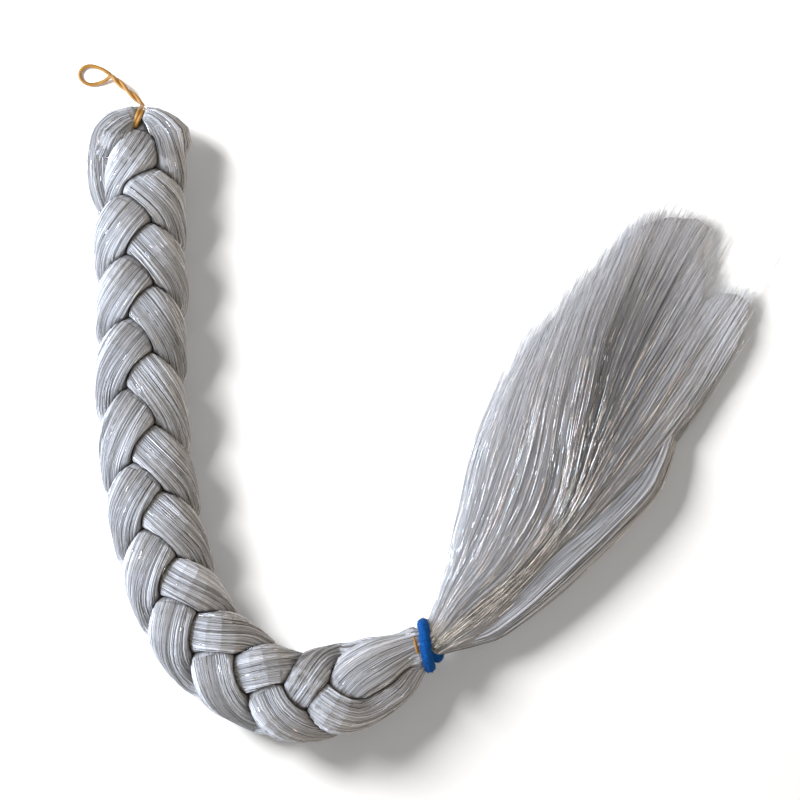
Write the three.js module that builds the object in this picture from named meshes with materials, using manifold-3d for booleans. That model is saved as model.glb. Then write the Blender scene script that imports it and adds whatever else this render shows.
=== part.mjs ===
// A bundle of braiding hair: silver fibre mixed with tinsel, folded at an elastic loop, plaited in three
// strands, tied off with a doubled hair tie, and left loose below the tie as a tail.
// Millimetres, +Z up. The bundle lies on a table at z = 0 with the plait's face upwards, and the origin
// is on the table under the middle of the hair.
import * as THREE from "three";
import Module from "manifold-3d";

const wasm = await Module();
wasm.setup();

const UP = new THREE.Vector3(0, 0, 1);

// Clearances and facets
const CLEARANCE = 1.0;
const BITE_CLEARANCE = 0.35;
const TURN_GAP = 0.2;
const STRAND_SIDES = 12;
const STRAND_SECTIONS = 83;
const BODY_SIDES = 18;
const LOCK_SIDES = 8;
const CORD_SIDES = 6;

// The plait's route over the table, a row for each section from the knot to the tie. x and y place its
// middle, crossings counts how often the strands have crossed by there, swing and lift are how far a
// strand moves sideways and up or down, and halfWidth and halfDepth are a free strand's own size.
const BRAID_HEIGHT = 14.2;
const BRAID_ROUTE = [
  { x: -141.0, y: 155.5, crossings: -0.3, swing: 14.0, lift: 6.8, halfWidth: 3.6, halfDepth: 5.0 },
  { x: -141.0, y: 146.5, crossings: 0.2, swing: 15.0, lift: 6.8, halfWidth: 9.5, halfDepth: 8.0 },
  { x: -140.8, y: 137.5, crossings: 1.1, swing: 14.7, lift: 9.0, halfWidth: 12.0, halfDepth: 8.5 },
  { x: -140.8, y: 112.5, crossings: 2.8, swing: 14.0, lift: 9.0, halfWidth: 12.0, halfDepth: 8.5 },
  { x: -140.5, y: 87.5, crossings: 4.4, swing: 14.1, lift: 9.0, halfWidth: 12.0, halfDepth: 8.5 },
  { x: -139.5, y: 62.5, crossings: 6.0, swing: 14.0, lift: 9.0, halfWidth: 12.0, halfDepth: 8.5 },
  { x: -140.3, y: 37.5, crossings: 7.5, swing: 13.7, lift: 9.0, halfWidth: 12.0, halfDepth: 8.5 },
  { x: -140.0, y: 12.5, crossings: 8.9, swing: 13.8, lift: 9.0, halfWidth: 12.0, halfDepth: 8.5 },
  { x: -138.0, y: -12.5, crossings: 10.2, swing: 14.1, lift: 9.0, halfWidth: 12.0, halfDepth: 8.5 },
  { x: -134.5, y: -37.5, crossings: 11.8, swing: 14.4, lift: 9.0, halfWidth: 12.0, halfDepth: 8.5 },
  { x: -130.0, y: -60.0, crossings: 13.1, swing: 14.0, lift: 9.0, halfWidth: 12.0, halfDepth: 8.5 },
  { x: -123.5, y: -82.5, crossings: 14.5, swing: 14.0, lift: 9.0, halfWidth: 12.0, halfDepth: 8.5 },
  { x: -110.5, y: -106.5, crossings: 16.3, swing: 14.6, lift: 9.0, halfWidth: 12.0, halfDepth: 8.5 },
  { x: -95.5, y: -120.5, crossings: 17.6, swing: 14.6, lift: 9.0, halfWidth: 12.0, halfDepth: 8.5 },
  { x: -80.5, y: -129.8, crossings: 18.7, swing: 14.1, lift: 9.0, halfWidth: 12.0, halfDepth: 8.5 },
  { x: -64.0, y: -136.0, crossings: 19.9, swing: 14.0, lift: 9.0, halfWidth: 12.0, halfDepth: 8.5 },
  { x: -39.0, y: -132.0, crossings: 22.0, swing: 13.7, lift: 9.0, halfWidth: 12.0, halfDepth: 8.5 },
  { x: -19.0, y: -122.8, crossings: 22.5, swing: 10.5, lift: 7.4, halfWidth: 12.0, halfDepth: 8.2 },
  { x: -6.5, y: -115.0, crossings: 22.6, swing: 6.0, lift: 4.8, halfWidth: 7.6, halfDepth: 6.2 },
  { x: 3.2, y: -110.2, crossings: 22.7, swing: 3.6, lift: 3.6, halfWidth: 4.4, halfDepth: 4.4 },
];
const LAST_ROW = BRAID_ROUTE.length - 1;
// How early a strand rises over its neighbour, as a turn of the plait.
const EARLY_RISE = 0.5;

// How each strand leaves the knot: from start beside the knot it arches out to reach on one side, over drop
// rows of the route, and sits rise above the plait's middle. It joins the plait's swing between two rows, and
// its lift between two others. bow is how soon the arch straightens, and flare how straight down it leaves.
const CROWN = [
  {
    name: "strand_left", order: 0, start: 1.2, reach: -15.5, bow: 2.4, flare: 0.6, drop: 2.6, rise: 0.0,
    joinFrom: 1.6, joinTo: 3.1, levelFrom: 1.2, levelTo: 3.0,
  },
  {
    name: "strand_middle", order: 1, start: 3.4, reach: 0.0, bow: 1.0, flare: 1.0, drop: 1.6, rise: -3.6,
    joinFrom: 0.7, joinTo: 3.7, levelFrom: 0.7, levelTo: 2.1,
  },
  {
    name: "strand_right", order: 2, start: 3.0, reach: 11.5, bow: 2.2, flare: 1.0, drop: 1.6, rise: 3.0,
    joinFrom: 1.9, joinTo: 2.8, levelFrom: 1.9, levelTo: 2.8,
  },
];
// Where along y the crown ends and the even plait begins.
const CROWN_END = 95;
// The left strand's outermost hair runs on down the plait's left edge, past the first crossing, before it
// turns in under the next one. A row for each section: its middle and its size.
const OUTER_LOCK = [
  { x: -145.0, y: 154.5, z: 14.0, halfWidth: 3.0, halfDepth: 4.0 },
  { x: -151.5, y: 152.0, z: 13.5, halfWidth: 5.5, halfDepth: 7.0 },
  { x: -157.5, y: 145.5, z: 13.0, halfWidth: 6.5, halfDepth: 8.0 },
  { x: -159.8, y: 136.5, z: 12.0, halfWidth: 6.6, halfDepth: 8.6 },
  { x: -160.4, y: 126.5, z: 11.0, halfWidth: 6.6, halfDepth: 8.6 },
  { x: -159.2, y: 116.5, z: 10.0, halfWidth: 6.2, halfDepth: 8.0 },
  { x: -156.0, y: 107.5, z: 8.0, halfWidth: 5.0, halfDepth: 6.4 },
  { x: -151.0, y: 99.5, z: 6.0, halfWidth: 3.0, halfDepth: 3.6 },
];

// The tail's body, a row for each section: along runs from the tie down the tail, left and right are its
// edges there, and crest, brim and underside are the heights of its top, its widest line and its bottom.
const TAIL_START = new THREE.Vector3(8.9, -106.8, 0);
const TAIL_ALONG = new THREE.Vector3(0.604, 0.797, 0).normalize();
const TAIL_ACROSS = TAIL_ALONG.clone().cross(UP);
const TAIL_BODY = [
  { along: -8, left: -10.0, right: 5.0, crest: 22.0, brim: 14.2, underside: 6.4 },
  { along: 0, left: -9.5, right: 9.0, crest: 21.5, brim: 13.0, underside: 4.8 },
  { along: 8, left: -11.0, right: 16.0, crest: 20.5, brim: 10.5, underside: 2.4 },
  { along: 20, left: -15.5, right: 20.0, crest: 20.0, brim: 7.5, underside: 0.8 },
  { along: 40, left: -23.5, right: 21.5, crest: 20.0, brim: 5.0, underside: 0.2 },
  { along: 62, left: -33.5, right: 22.5, crest: 20.0, brim: 4.0, underside: 0.0 },
  { along: 96, left: -45.5, right: 29.0, crest: 19.5, brim: 3.5, underside: 0.0 },
  { along: 127, left: -52.0, right: 33.5, crest: 18.0, brim: 3.2, underside: 0.0 },
  { along: 150, left: -52.5, right: 36.0, crest: 16.0, brim: 3.0, underside: 0.0 },
  { along: 180, left: -48.0, right: 33.0, crest: 13.0, brim: 2.6, underside: 0.0 },
  { along: 200, left: -41.0, right: 30.0, crest: 9.0, brim: 2.2, underside: 0.0 },
  { along: 212, left: -35.0, right: 25.0, crest: 4.5, brim: 1.6, underside: 0.0 },
];
// How square the body's upper and lower curve is.
const BODY_CURVE = 0.9;
// Locks that lie against the body, a row for each section: the side lock along its right edge, and the two
// groups of cut ends. across and height place a lock's middle, and halfWidth and halfDepth are its size.
const TAIL_LOCKS = [
  [
    { along: -6, across: 3.0, height: 13.0, halfWidth: 3.0, halfDepth: 4.0 },
    { along: 4, across: 9.0, height: 10.5, halfWidth: 4.5, halfDepth: 5.0 },
    { along: 18, across: 18.0, height: 8.6, halfWidth: 6.0, halfDepth: 7.4 },
    { along: 40, across: 24.0, height: 8.4, halfWidth: 7.0, halfDepth: 8.2 },
    { along: 62, across: 28.0, height: 8.4, halfWidth: 8.4, halfDepth: 8.4 },
    { along: 96, across: 34.0, height: 8.0, halfWidth: 7.4, halfDepth: 8.0 },
    { along: 122, across: 37.0, height: 7.0, halfWidth: 6.8, halfDepth: 7.0 },
    { along: 134, across: 35.5, height: 6.4, halfWidth: 5.8, halfDepth: 6.2 },
    { along: 146, across: 32.5, height: 5.5, halfWidth: 4.6, halfDepth: 5.2 },
    { along: 158, across: 29.0, height: 4.4, halfWidth: 3.0, halfDepth: 3.8 },
  ],
  [
    { along: 160, across: -8.0, height: 4.5, halfWidth: 30.0, halfDepth: 4.0 },
    { along: 190, across: -12.0, height: 4.2, halfWidth: 34.0, halfDepth: 4.0 },
    { along: 212, across: -19.0, height: 3.6, halfWidth: 26.0, halfDepth: 3.4 },
    { along: 226, across: -23.0, height: 3.0, halfWidth: 20.0, halfDepth: 2.8 },
    { along: 238, across: -24.0, height: 2.5, halfWidth: 11.0, halfDepth: 2.2 },
    { along: 246, across: -20.0, height: 2.0, halfWidth: 4.0, halfDepth: 1.6 },
  ],
  [
    { along: 160, across: 20.0, height: 4.2, halfWidth: 14.0, halfDepth: 3.8 },
    { along: 190, across: 19.0, height: 3.8, halfWidth: 14.0, halfDepth: 3.6 },
    { along: 212, across: 17.0, height: 3.2, halfWidth: 13.0, halfDepth: 3.0 },
    { along: 223, across: 17.0, height: 2.6, halfWidth: 9.5, halfDepth: 2.4 },
    { along: 228, across: 19.5, height: 2.0, halfWidth: 4.0, halfDepth: 1.6 },
  ],
];

// The bands: a thick woven hair tie wound twice, a thin amber rubber band beside it, and the amber
// elastic wound twice that pinches the fold. radiusAcross and radiusUp are to the cord's middle, splay
// is how far two turns lie apart where they cross over, at crossAngle from the outer side up. settle is
// how soon one turn climbs on the other, close how they draw together at the inner side of the bend, and
// sink how the climb sinks at its outer side. lean and under are how far both turns shift towards the
// tail at the outer side and underneath.
const HAIR_TIE = {
  centre: [2.4, -111.0, 14.2], heading: 14, cord: 2.8, turns: 2, splay: 3.6, crossAngle: 1.57,
  settle: 8, close: 0.45, sink: 0.28, lean: 0.5, under: 0.9, radiusAcross: 6.2, radiusUp: 5.4, steps: 28,
};
const INNER_BAND = {
  centre: [-2.3, -111.5, 14.2], heading: 14, cord: 0.9, turns: 1, radiusAcross: 9.0, radiusUp: 9.8, steps: 22,
};
const ELASTIC_WRAP = {
  centre: [-140.8, 154.5, 14.2], heading: -23, cord: 0.95, turns: 2, splay: 1.1, crossAngle: -2.2,
  settle: 2, close: 0, sink: 0, lean: 0, under: 0,
  radiusAcross: 4.2, radiusUp: 6.2, steps: 20,
};

// The elastic loop is one cord that leaves the wrap, twists round itself along the stem, opens into the
// loop and comes back. Its eye is a list of points, and the stem's two halves are a helix.
const LOOP_CORD_RADIUS = 0.95;
const LOOP_STEM = { foot: [-140.0, 161.2, 10.5], fork: [-154.4, 174.4, 2.3], twists: 1.0 };
const LOOP_STEM_POINTS = 9;
const LOOP_STEM_RADIUS = LOOP_CORD_RADIUS + 0.12;
const LOOP_EYE = [
  [-158.6, 177.7, 1.5],
  [-162.3, 179.5, 1.0],
  [-166.8, 180.3, 1.0],
  [-170.0, 178.9, 1.0],
  [-171.4, 175.7, 1.0],
  [-170.0, 172.8, 1.0],
  [-166.8, 171.1, 1.0],
  [-163.3, 171.2, 1.0],
  [-159.6, 172.4, 1.5],
];
const LOOP_STEPS = 40;

// Colours and finishes
const HAIR = { color: 0xb9bcc2, roughness: 0.42, metalness: 0.05 };
const AMBER = { color: 0xc4862b, roughness: 0.45, metalness: 0.0 };
const BLUE = { color: 0x0b5cab, roughness: 0.85, metalness: 0.0 };

// Smooth curve through a table's column, with the row number as its parameter.
function column(table, name, row) {
  const last = table.length - 1;
  const i = Math.max(0, Math.min(Math.floor(row), last - 1));
  const f = row - i;
  const value = (n) => table[Math.max(0, Math.min(last, n))][name];
  const before = (value(i + 1) - value(i - 1)) / 2;
  const after = (value(i + 2) - value(i)) / 2;
  const step = value(i + 1) - value(i);
  return value(i) + f * (before + f * (3 * step - 2 * before - after + f * (before + after - 2 * step)));
}

// Closed solid through rings of points. The rings run round the way that faces outwards, and the ends
// are closed by a point in the middle, unless the last ring joins the first.
function loft(rings, joined = false) {
  const sides = rings[0].length;
  const positions = rings.flat().flatMap((p) => [p.x, p.y, p.z]);
  const faces = [];
  const spans = joined ? rings.length : rings.length - 1;
  for (let r = 0; r < spans; r++) {
    const a = r * sides;
    const b = ((r + 1) % rings.length) * sides;
    for (let k = 0; k < sides; k++) {
      const next = (k + 1) % sides;
      const corner = (ring, n) => rings[ring % rings.length][n];
      const straight = corner(r, k).distanceTo(corner(r + 1, next));
      const crossed = corner(r, next).distanceTo(corner(r + 1, k));
      if (straight < crossed) faces.push(a + k, a + next, b + next, a + k, b + next, b + k);
      else faces.push(a + k, a + next, b + k, a + next, b + next, b + k);
    }
  }
  if (!joined) {
    for (const [ring, turn] of [[0, 1], [rings.length - 1, 0]]) {
      const middle = new THREE.Vector3();
      rings[ring].forEach((p) => middle.addScaledVector(p, 1 / sides));
      const hub = positions.length / 3;
      positions.push(middle.x, middle.y, middle.z);
      for (let k = 0; k < sides; k++) {
        const a = ring * sides + ((k + turn) % sides);
        const b = ring * sides + ((k + 1 - turn) % sides);
        faces.push(hub, a, b);
      }
    }
  }
  const geometry = new THREE.BufferGeometry();
  geometry.setAttribute("position", new THREE.Float32BufferAttribute(positions, 3));
  geometry.setIndex(faces);
  return geometry;
}

// Point of a section: out from the middle along two directions, and never under the table.
function sectionPoint(middle, u, v, across, up) {
  const p = middle.clone().addScaledVector(u, across).addScaledVector(v, up);
  p.z = Math.max(p.z, 0);
  return p;
}

// The plait's middle at a row: place, direction, and the side that faces the inside of the bend.
const ROW_STEP = 0.01;
function braidAt(row) {
  const at = (r) => new THREE.Vector3(column(BRAID_ROUTE, "x", r), column(BRAID_ROUTE, "y", r), 0);
  const along = at(row + ROW_STEP).sub(at(row - ROW_STEP)).normalize();
  const middle = at(row).setZ(BRAID_HEIGHT);
  return { middle, side: UP.clone().cross(along) };
}

// A strand's turn through the plait: a sixth of a circle for each crossing, and the three strands are a
// third of a circle apart.
function strandPhase(strand, row) {
  return (Math.PI / 3) * (column(BRAID_ROUTE, "crossings", row) - 2 - 2 * strand.order);
}

// Middle of a strand. Across the plait it follows a figure of eight, over the top on the way out and
// underneath on the way back, and near the knot it arches out of the pinch instead.
function strandPoint(strand, row) {
  const { middle, side } = braidAt(row);
  const phase = strandPhase(strand, row);
  const open = (1 - Math.max(0, 1 - row / strand.drop) ** strand.bow) ** strand.flare;
  const join = THREE.MathUtils.smoothstep(row, strand.joinFrom, strand.joinTo);
  const swing = column(BRAID_ROUTE, "swing", row) * Math.sin(phase);
  const lift = column(BRAID_ROUTE, "lift", row) * Math.sin(2 * phase + EARLY_RISE);
  const across = THREE.MathUtils.lerp(strand.start + strand.reach * open, swing, join);
  const level = THREE.MathUtils.smoothstep(row, strand.levelFrom, strand.levelTo);
  const up = THREE.MathUtils.lerp(strand.rise, lift, level);
  return middle.addScaledVector(side, across).addScaledVector(UP, up);
}

// A strand's route as stations the same distance apart, each with its row. The fine steps that it is
// measured in crowd towards the knot, where the strand turns most.
const FINE_STEPS = 900;
const CROWDING = 1.5;
function strandStations(strand, count) {
  const fine = FINE_STEPS;
  const rows = Array.from({ length: fine + 1 }, (_, i) => LAST_ROW * (i / fine) ** CROWDING);
  const points = rows.map((row) => strandPoint(strand, row));
  const reached = [0];
  for (let i = 1; i <= fine; i++) reached.push(reached[i - 1] + points[i].distanceTo(points[i - 1]));
  const stations = [];
  let i = 0;
  for (let n = 0; n <= count; n++) {
    const goal = (reached[fine] * n) / count;
    while (i < fine - 1 && reached[i + 1] < goal) i++;
    const f = (goal - reached[i]) / (reached[i + 1] - reached[i]);
    const row = THREE.MathUtils.lerp(rows[i], rows[i + 1], f);
    stations.push({ row, point: strandPoint(strand, row) });
  }
  return stations;
}

// How far a point lies from the stretch of a strand that runs past the same part of the plait.
const NEARBY_ROWS = 1.8;
function distanceTo(stations, point, row) {
  const line = new THREE.Line3();
  const nearest = new THREE.Vector3();
  let best = Infinity;
  for (let i = 1; i < stations.length; i++) {
    if (Math.abs(stations[i].row - row) > NEARBY_ROWS) continue;
    line.set(stations[i - 1].point, stations[i].point);
    line.closestPointToPoint(point, true, nearest);
    best = Math.min(best, nearest.distanceTo(point));
  }
  return best;
}

// How far an oval with full corners reaches at an angle from its long axis.
const CORNER_FULLNESS = 2.3;
function ovalReach(wide, deep, turn) {
  const across = Math.abs(Math.cos(turn) / wide) ** CORNER_FULLNESS;
  const up = Math.abs(Math.sin(turn) / deep) ** CORNER_FULLNESS;
  return (across + up) ** (-1 / CORNER_FULLNESS);
}

// A strand swells to its free size, or until it meets half way to a neighbour.
const HALVINGS = 12;
function strandReach(middle, direction, free, row, neighbours) {
  const room = (reach) => {
    const p = middle.clone().addScaledVector(direction, reach);
    return Math.min(...neighbours.map((n) => distanceTo(n, p, row))) - reach - CLEARANCE;
  };
  if (room(free) >= 0) return free;
  let low = 0;
  let high = free;
  for (let i = 0; i < HALVINGS; i++) {
    const half = (low + high) / 2;
    if (room(half) >= 0) low = half;
    else high = half;
  }
  return low;
}

// One strand of the plait. Its oval section lies flat on the plait's faces and on edge at its sides.
function strandGeometry(strand, stations, neighbours, swell) {
  const rings = stations.map(({ row, point }, n) => {
    const before = stations[Math.max(0, n - 1)].point;
    const after = stations[Math.min(stations.length - 1, n + 1)].point;
    const along = after.clone().sub(before).normalize();
    if (row === LAST_ROW) along.crossVectors(braidAt(row).side, UP);
    const lean = (Math.PI / 2) * (1 - Math.cos(strandPhase(strand, row)));
    const facing = UP.clone().multiplyScalar(Math.cos(lean));
    facing.addScaledVector(braidAt(row).side, Math.sin(lean));
    const v = facing.addScaledVector(along, -facing.dot(along)).normalize();
    const u = v.clone().cross(along);
    const wide = column(BRAID_ROUTE, "halfWidth", row);
    const deep = column(BRAID_ROUTE, "halfDepth", row);
    return Array.from({ length: STRAND_SIDES }, (_, k) => {
      const turn = (2 * Math.PI * (k + 0.5)) / STRAND_SIDES;
      const direction = u.clone().multiplyScalar(Math.cos(turn)).addScaledVector(v, Math.sin(turn));
      const free = ovalReach(wide, deep, turn);
      const reach = strandReach(point, direction, free, row, neighbours);
      return sectionPoint(point, direction, v, reach + swell, 0);
    });
  });
  return loft(rings);
}

// The outer lock: an oval section that follows the plait's left edge.
function outerLockGeometry() {
  const at = (row) => new THREE.Vector3(...["x", "y", "z"].map((name) => column(OUTER_LOCK, name, row)));
  const rings = Array.from({ length: 2 * OUTER_LOCK.length - 1 }, (_, n) => {
    const row = n / 2;
    const along = at(row + ROW_STEP).sub(at(row - ROW_STEP)).normalize();
    const side = UP.clone().cross(along).normalize();
    const over = along.clone().cross(side);
    const wide = column(OUTER_LOCK, "halfWidth", row);
    const deep = column(OUTER_LOCK, "halfDepth", row);
    return Array.from({ length: LOCK_SIDES }, (_, k) => {
      const turn = (2 * Math.PI * (k + 0.5)) / LOCK_SIDES;
      return sectionPoint(at(row), side, over, wide * Math.cos(turn), deep * Math.sin(turn));
    });
  });
  return loft(rings);
}

// Closed cord wound round a neck, once or twice. Two turns lie side by side where they cross over, and one
// climbs on the other elsewhere. The higher a focus, the closer to its side a shift keeps.
const INNER_FOCUS = 4;
const OUTER_FOCUS = 2;
function bandRings(band, swell = 0) {
  const axis = new THREE.Vector3(1, 0, 0).applyAxisAngle(UP, THREE.MathUtils.degToRad(band.heading));
  const across = UP.clone().cross(axis);
  const hop = 2 * band.cord + TURN_GAP;
  const doubled = band.turns === 2;
  return Array.from({ length: band.turns * band.steps }, (_, n) => {
    const wind = (2 * Math.PI * n) / band.steps;
    const turn = doubled ? wind + band.crossAngle - Math.PI : wind;
    const apart = Math.cos(wind / 2);
    const inner = Math.max(0, Math.cos(turn)) ** INNER_FOCUS;
    const outer = Math.max(0, -Math.cos(turn)) ** OUTER_FOCUS;
    const climb = hop * (1 - apart ** band.settle) * (1 - band.sink * outer);
    const raised = doubled && wind < 2 * Math.PI ? climb : 0;
    const below = Math.max(0, -Math.sin(turn)) ** OUTER_FOCUS;
    const spread = apart * (1 - band.close * inner) + band.lean * outer + band.under * below;
    const aside = doubled ? band.splay * spread : 0;
    const radial = across.clone().multiplyScalar(Math.cos(turn)).addScaledVector(UP, Math.sin(turn));
    const middle = new THREE.Vector3(...band.centre)
      .addScaledVector(across, (band.radiusAcross + raised) * Math.cos(turn))
      .addScaledVector(UP, (band.radiusUp + raised) * Math.sin(turn))
      .addScaledVector(axis, aside);
    const cord = band.cord + swell;
    return Array.from({ length: CORD_SIDES }, (_, k) => {
      const a = (2 * Math.PI * k) / CORD_SIDES;
      return sectionPoint(middle, axis, radial, cord * Math.cos(a), cord * Math.sin(a));
    });
  });
}

// Points of the elastic loop: out along the stem's helix, round the eye, and back along the other half.
function loopPoints() {
  const foot = new THREE.Vector3(...LOOP_STEM.foot);
  const fork = new THREE.Vector3(...LOOP_STEM.fork);
  const along = fork.clone().sub(foot).normalize();
  const level = UP.clone().cross(along).normalize();
  const steep = along.clone().cross(level);
  const stem = (half) =>
    Array.from({ length: LOOP_STEM_POINTS }, (_, n) => {
      const f = n / (LOOP_STEM_POINTS - 1);
      const turn = 2 * Math.PI * LOOP_STEM.twists * f + half * Math.PI - Math.PI / 2;
      return foot.clone().lerp(fork, f)
        .addScaledVector(level, LOOP_STEM_RADIUS * Math.cos(turn))
        .addScaledVector(steep, LOOP_STEM_RADIUS * Math.sin(turn));
    });
  const eye = LOOP_EYE.map((p) => new THREE.Vector3(...p));
  return [...stem(0), ...eye, ...stem(1).reverse()];
}

function loopGeometry() {
  const section = new THREE.Shape();
  section.absarc(0, 0, LOOP_CORD_RADIUS, 0, 2 * Math.PI);
  const route = new THREE.CatmullRomCurve3(loopPoints());
  return new THREE.ExtrudeGeometry(section, {
    steps: LOOP_STEPS, curveSegments: CORD_SIDES / 2, extrudePath: route,
  });
}

// Place in the tail: a distance along it, across it and up, and never under the table.
function tailPlace(along, across, height) {
  return TAIL_START.clone().addScaledVector(TAIL_ALONG, along)
    .addScaledVector(TAIL_ACROSS, across).setZ(Math.max(height, 0));
}

// Rings through a table of the tail's sections, at each row and half way between rows. pointAt gives a
// ring's point from the row's values and a turn round the section.
function tailRings(table, sides, pointAt) {
  const names = Object.keys(table[0]);
  return Array.from({ length: 2 * table.length - 1 }, (_, n) => {
    const row = n / 2;
    const at = Object.fromEntries(names.map((name) => [name, column(table, name, row)]));
    at.along = (table[Math.floor(row)].along + table[Math.ceil(row)].along) / 2;
    return Array.from({ length: sides }, (_, k) => pointAt(at, (2 * Math.PI * (k + 0.5)) / sides));
  });
}

// Body of the tail: the neck that the tie grips, opening into a crowned fan.
function bodyGeometry() {
  return loft(tailRings(TAIL_BODY, BODY_SIDES, (at, turn) => {
    const across = THREE.MathUtils.lerp(at.left, at.right, (1 - Math.cos(turn)) / 2);
    const end = Math.sin(turn) > 0 ? at.crest : at.underside;
    const height = THREE.MathUtils.lerp(at.brim, end, Math.abs(Math.sin(turn)) ** BODY_CURVE);
    return tailPlace(at.along, across, height);
  }));
}

// One lock that lies against the body: an oval section that tapers to its cut end.
function lockGeometry(lock) {
  return loft(tailRings(lock, LOCK_SIDES, (at, turn) => {
    const across = at.across - at.halfWidth * Math.cos(turn);
    return tailPlace(at.along, across, at.height + at.halfDepth * Math.sin(turn));
  }));
}

function solidOf(geometry) {
  return new wasm.Manifold(new wasm.Mesh({
    numProp: 3,
    vertProperties: geometry.getAttribute("position").array,
    triVerts: new Uint32Array(geometry.index.array),
  }));
}

function geometryOf(solid) {
  const { vertProperties, triVerts } = solid.getMesh();
  const geometry = new THREE.BufferGeometry();
  geometry.setAttribute("position", new THREE.Float32BufferAttribute(vertProperties, 3));
  geometry.setIndex(Array.from(triVerts));
  return geometry;
}

// Hair with the grooves that the bands bite into it. A groove is cut in half turns, each clear of itself,
// and crumbs that it cuts off are left out.
const grooves = [HAIR_TIE, INNER_BAND, ELASTIC_WRAP].flatMap((band) => {
  const rings = bandRings(band, BITE_CLEARANCE);
  const half = band.steps / 2;
  return Array.from({ length: 2 * band.turns }, (_, n) => {
    const arc = Array.from({ length: half + 1 }, (_, k) => rings[(n * half + k) % rings.length]);
    return solidOf(loft(arc));
  });
});
function grooved(solid) {
  const cut = grooves.reduce((hair, groove) => hair.subtract(groove), solid);
  const largest = cut.decompose().reduce((most, part) => (part.volume() > most.volume() ? part : most));
  return geometryOf(largest);
}

// The tail: its body and locks in one, cut off inside the tie where the strands end.
function tailSolid() {
  const locks = TAIL_LOCKS.map((lock) => solidOf(lockGeometry(lock)));
  const tail = locks.reduce((hair, lock) => hair.add(lock), solidOf(bodyGeometry()));
  const end = braidAt(LAST_ROW);
  const braidAlong = end.side.clone().cross(UP);
  return tail.trimByPlane(braidAlong.toArray(), end.middle.dot(braidAlong) + CLEARANCE);
}

const bundle = new THREE.Group();

function addPiece(name, geometry, finish) {
  geometry.computeVertexNormals();
  const mesh = new THREE.Mesh(geometry, new THREE.MeshStandardMaterial(finish));
  mesh.name = name;
  bundle.add(mesh);
}

const stations = CROWN.map((strand) => strandStations(strand, STRAND_SECTIONS));
function strandSolid(i, swell = 0) {
  const neighbours = stations.filter((_, j) => j !== i);
  return solidOf(strandGeometry(CROWN[i], stations[i], neighbours, swell));
}
const OUTER_STRAND = CROWN.findIndex((strand) => strand.name === "strand_left");
// The left strand with its outer lock, cut back to where the other strands lie against it.
function outerStrandSolid() {
  const whole = strandSolid(OUTER_STRAND).add(solidOf(outerLockGeometry()));
  const others = CROWN.map((_, i) => i).filter((i) => i !== OUTER_STRAND);
  const crown = (i) => strandSolid(i, BITE_CLEARANCE).trimByPlane([0, 1, 0], CROWN_END);
  return others.reduce((hair, i) => hair.subtract(crown(i)), whole);
}
CROWN.forEach((strand, i) => {
  addPiece(strand.name, grooved(i === OUTER_STRAND ? outerStrandSolid() : strandSolid(i)), HAIR);
});
addPiece("tail", grooved(tailSolid()), HAIR);
addPiece("hair_tie", loft(bandRings(HAIR_TIE), true), BLUE);
addPiece("inner_band", loft(bandRings(INNER_BAND), true), AMBER);
addPiece("elastic_wrap", loft(bandRings(ELASTIC_WRAP), true), AMBER);
addPiece("elastic_loop", loopGeometry(), AMBER);

export default bundle;
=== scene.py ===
# A bundle of silver braiding hair lying on a white table: folded at an elastic loop, plaited in three
# strands, tied off with a blue hair tie and left loose as a flared tail. Sizes are in millimetres in the
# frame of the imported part, and turn to metres where a mesh is made.
import math

import bmesh
import bpy
import numpy as np
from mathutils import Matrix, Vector


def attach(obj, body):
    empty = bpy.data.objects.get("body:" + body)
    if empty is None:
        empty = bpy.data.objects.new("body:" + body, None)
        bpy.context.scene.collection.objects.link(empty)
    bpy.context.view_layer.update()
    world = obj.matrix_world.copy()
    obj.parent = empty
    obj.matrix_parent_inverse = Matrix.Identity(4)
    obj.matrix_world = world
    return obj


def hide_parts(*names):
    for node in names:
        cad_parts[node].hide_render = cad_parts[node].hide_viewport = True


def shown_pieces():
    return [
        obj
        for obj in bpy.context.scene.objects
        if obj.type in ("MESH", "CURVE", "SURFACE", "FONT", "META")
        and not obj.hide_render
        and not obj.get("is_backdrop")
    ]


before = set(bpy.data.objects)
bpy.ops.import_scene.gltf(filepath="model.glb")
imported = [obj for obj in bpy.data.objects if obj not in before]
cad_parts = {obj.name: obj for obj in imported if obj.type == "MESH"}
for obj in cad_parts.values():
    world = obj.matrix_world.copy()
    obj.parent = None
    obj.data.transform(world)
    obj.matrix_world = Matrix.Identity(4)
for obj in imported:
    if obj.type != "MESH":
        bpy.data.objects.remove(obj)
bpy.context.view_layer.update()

# The view, the table and the light
# The bundle was laid on a white table and seen straight from above. A cool window on the left lights the
# hair from low down, the room gives a weak warm fill, and a soft high lamp throws the table's shadow.
MM = 0.001
FIELD_WIDTH = 400
VIEW_CENTRE = (-10.5, 12.5)
CAMERA_HEIGHT = 3000
FOCUS_HEIGHT = 14
SENSOR_WIDTH = 36
TABLE_HALF = 3000
scene = bpy.context.scene


def linear(hex_colour):
    """An sRGB hex colour as linear red, green, blue and alpha."""
    parts = [int(hex_colour[i:i + 2], 16) / 255 for i in (1, 3, 5)]
    curve = [p / 12.92 if p <= 0.04045 else ((p + 0.055) / 1.055) ** 2.4 for p in parts]
    return (*curve, 1.0)


def add_node(material, kind, options={}, values={}, links={}):
    """Adds a node with its options and socket values, and links other nodes' outputs into it."""
    made = material.node_tree.nodes.new(kind)
    for option, value in options.items():
        setattr(made, option, value)
    for socket, value in values.items():
        made.inputs[socket].default_value = value
    for socket, output in links.items():
        material.node_tree.links.new(output, made.inputs[socket])
    return made


def new_material(name):
    """A material with no nodes yet."""
    material = bpy.data.materials.new(name)
    material.use_nodes = True
    material.node_tree.nodes.clear()
    return material


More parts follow.
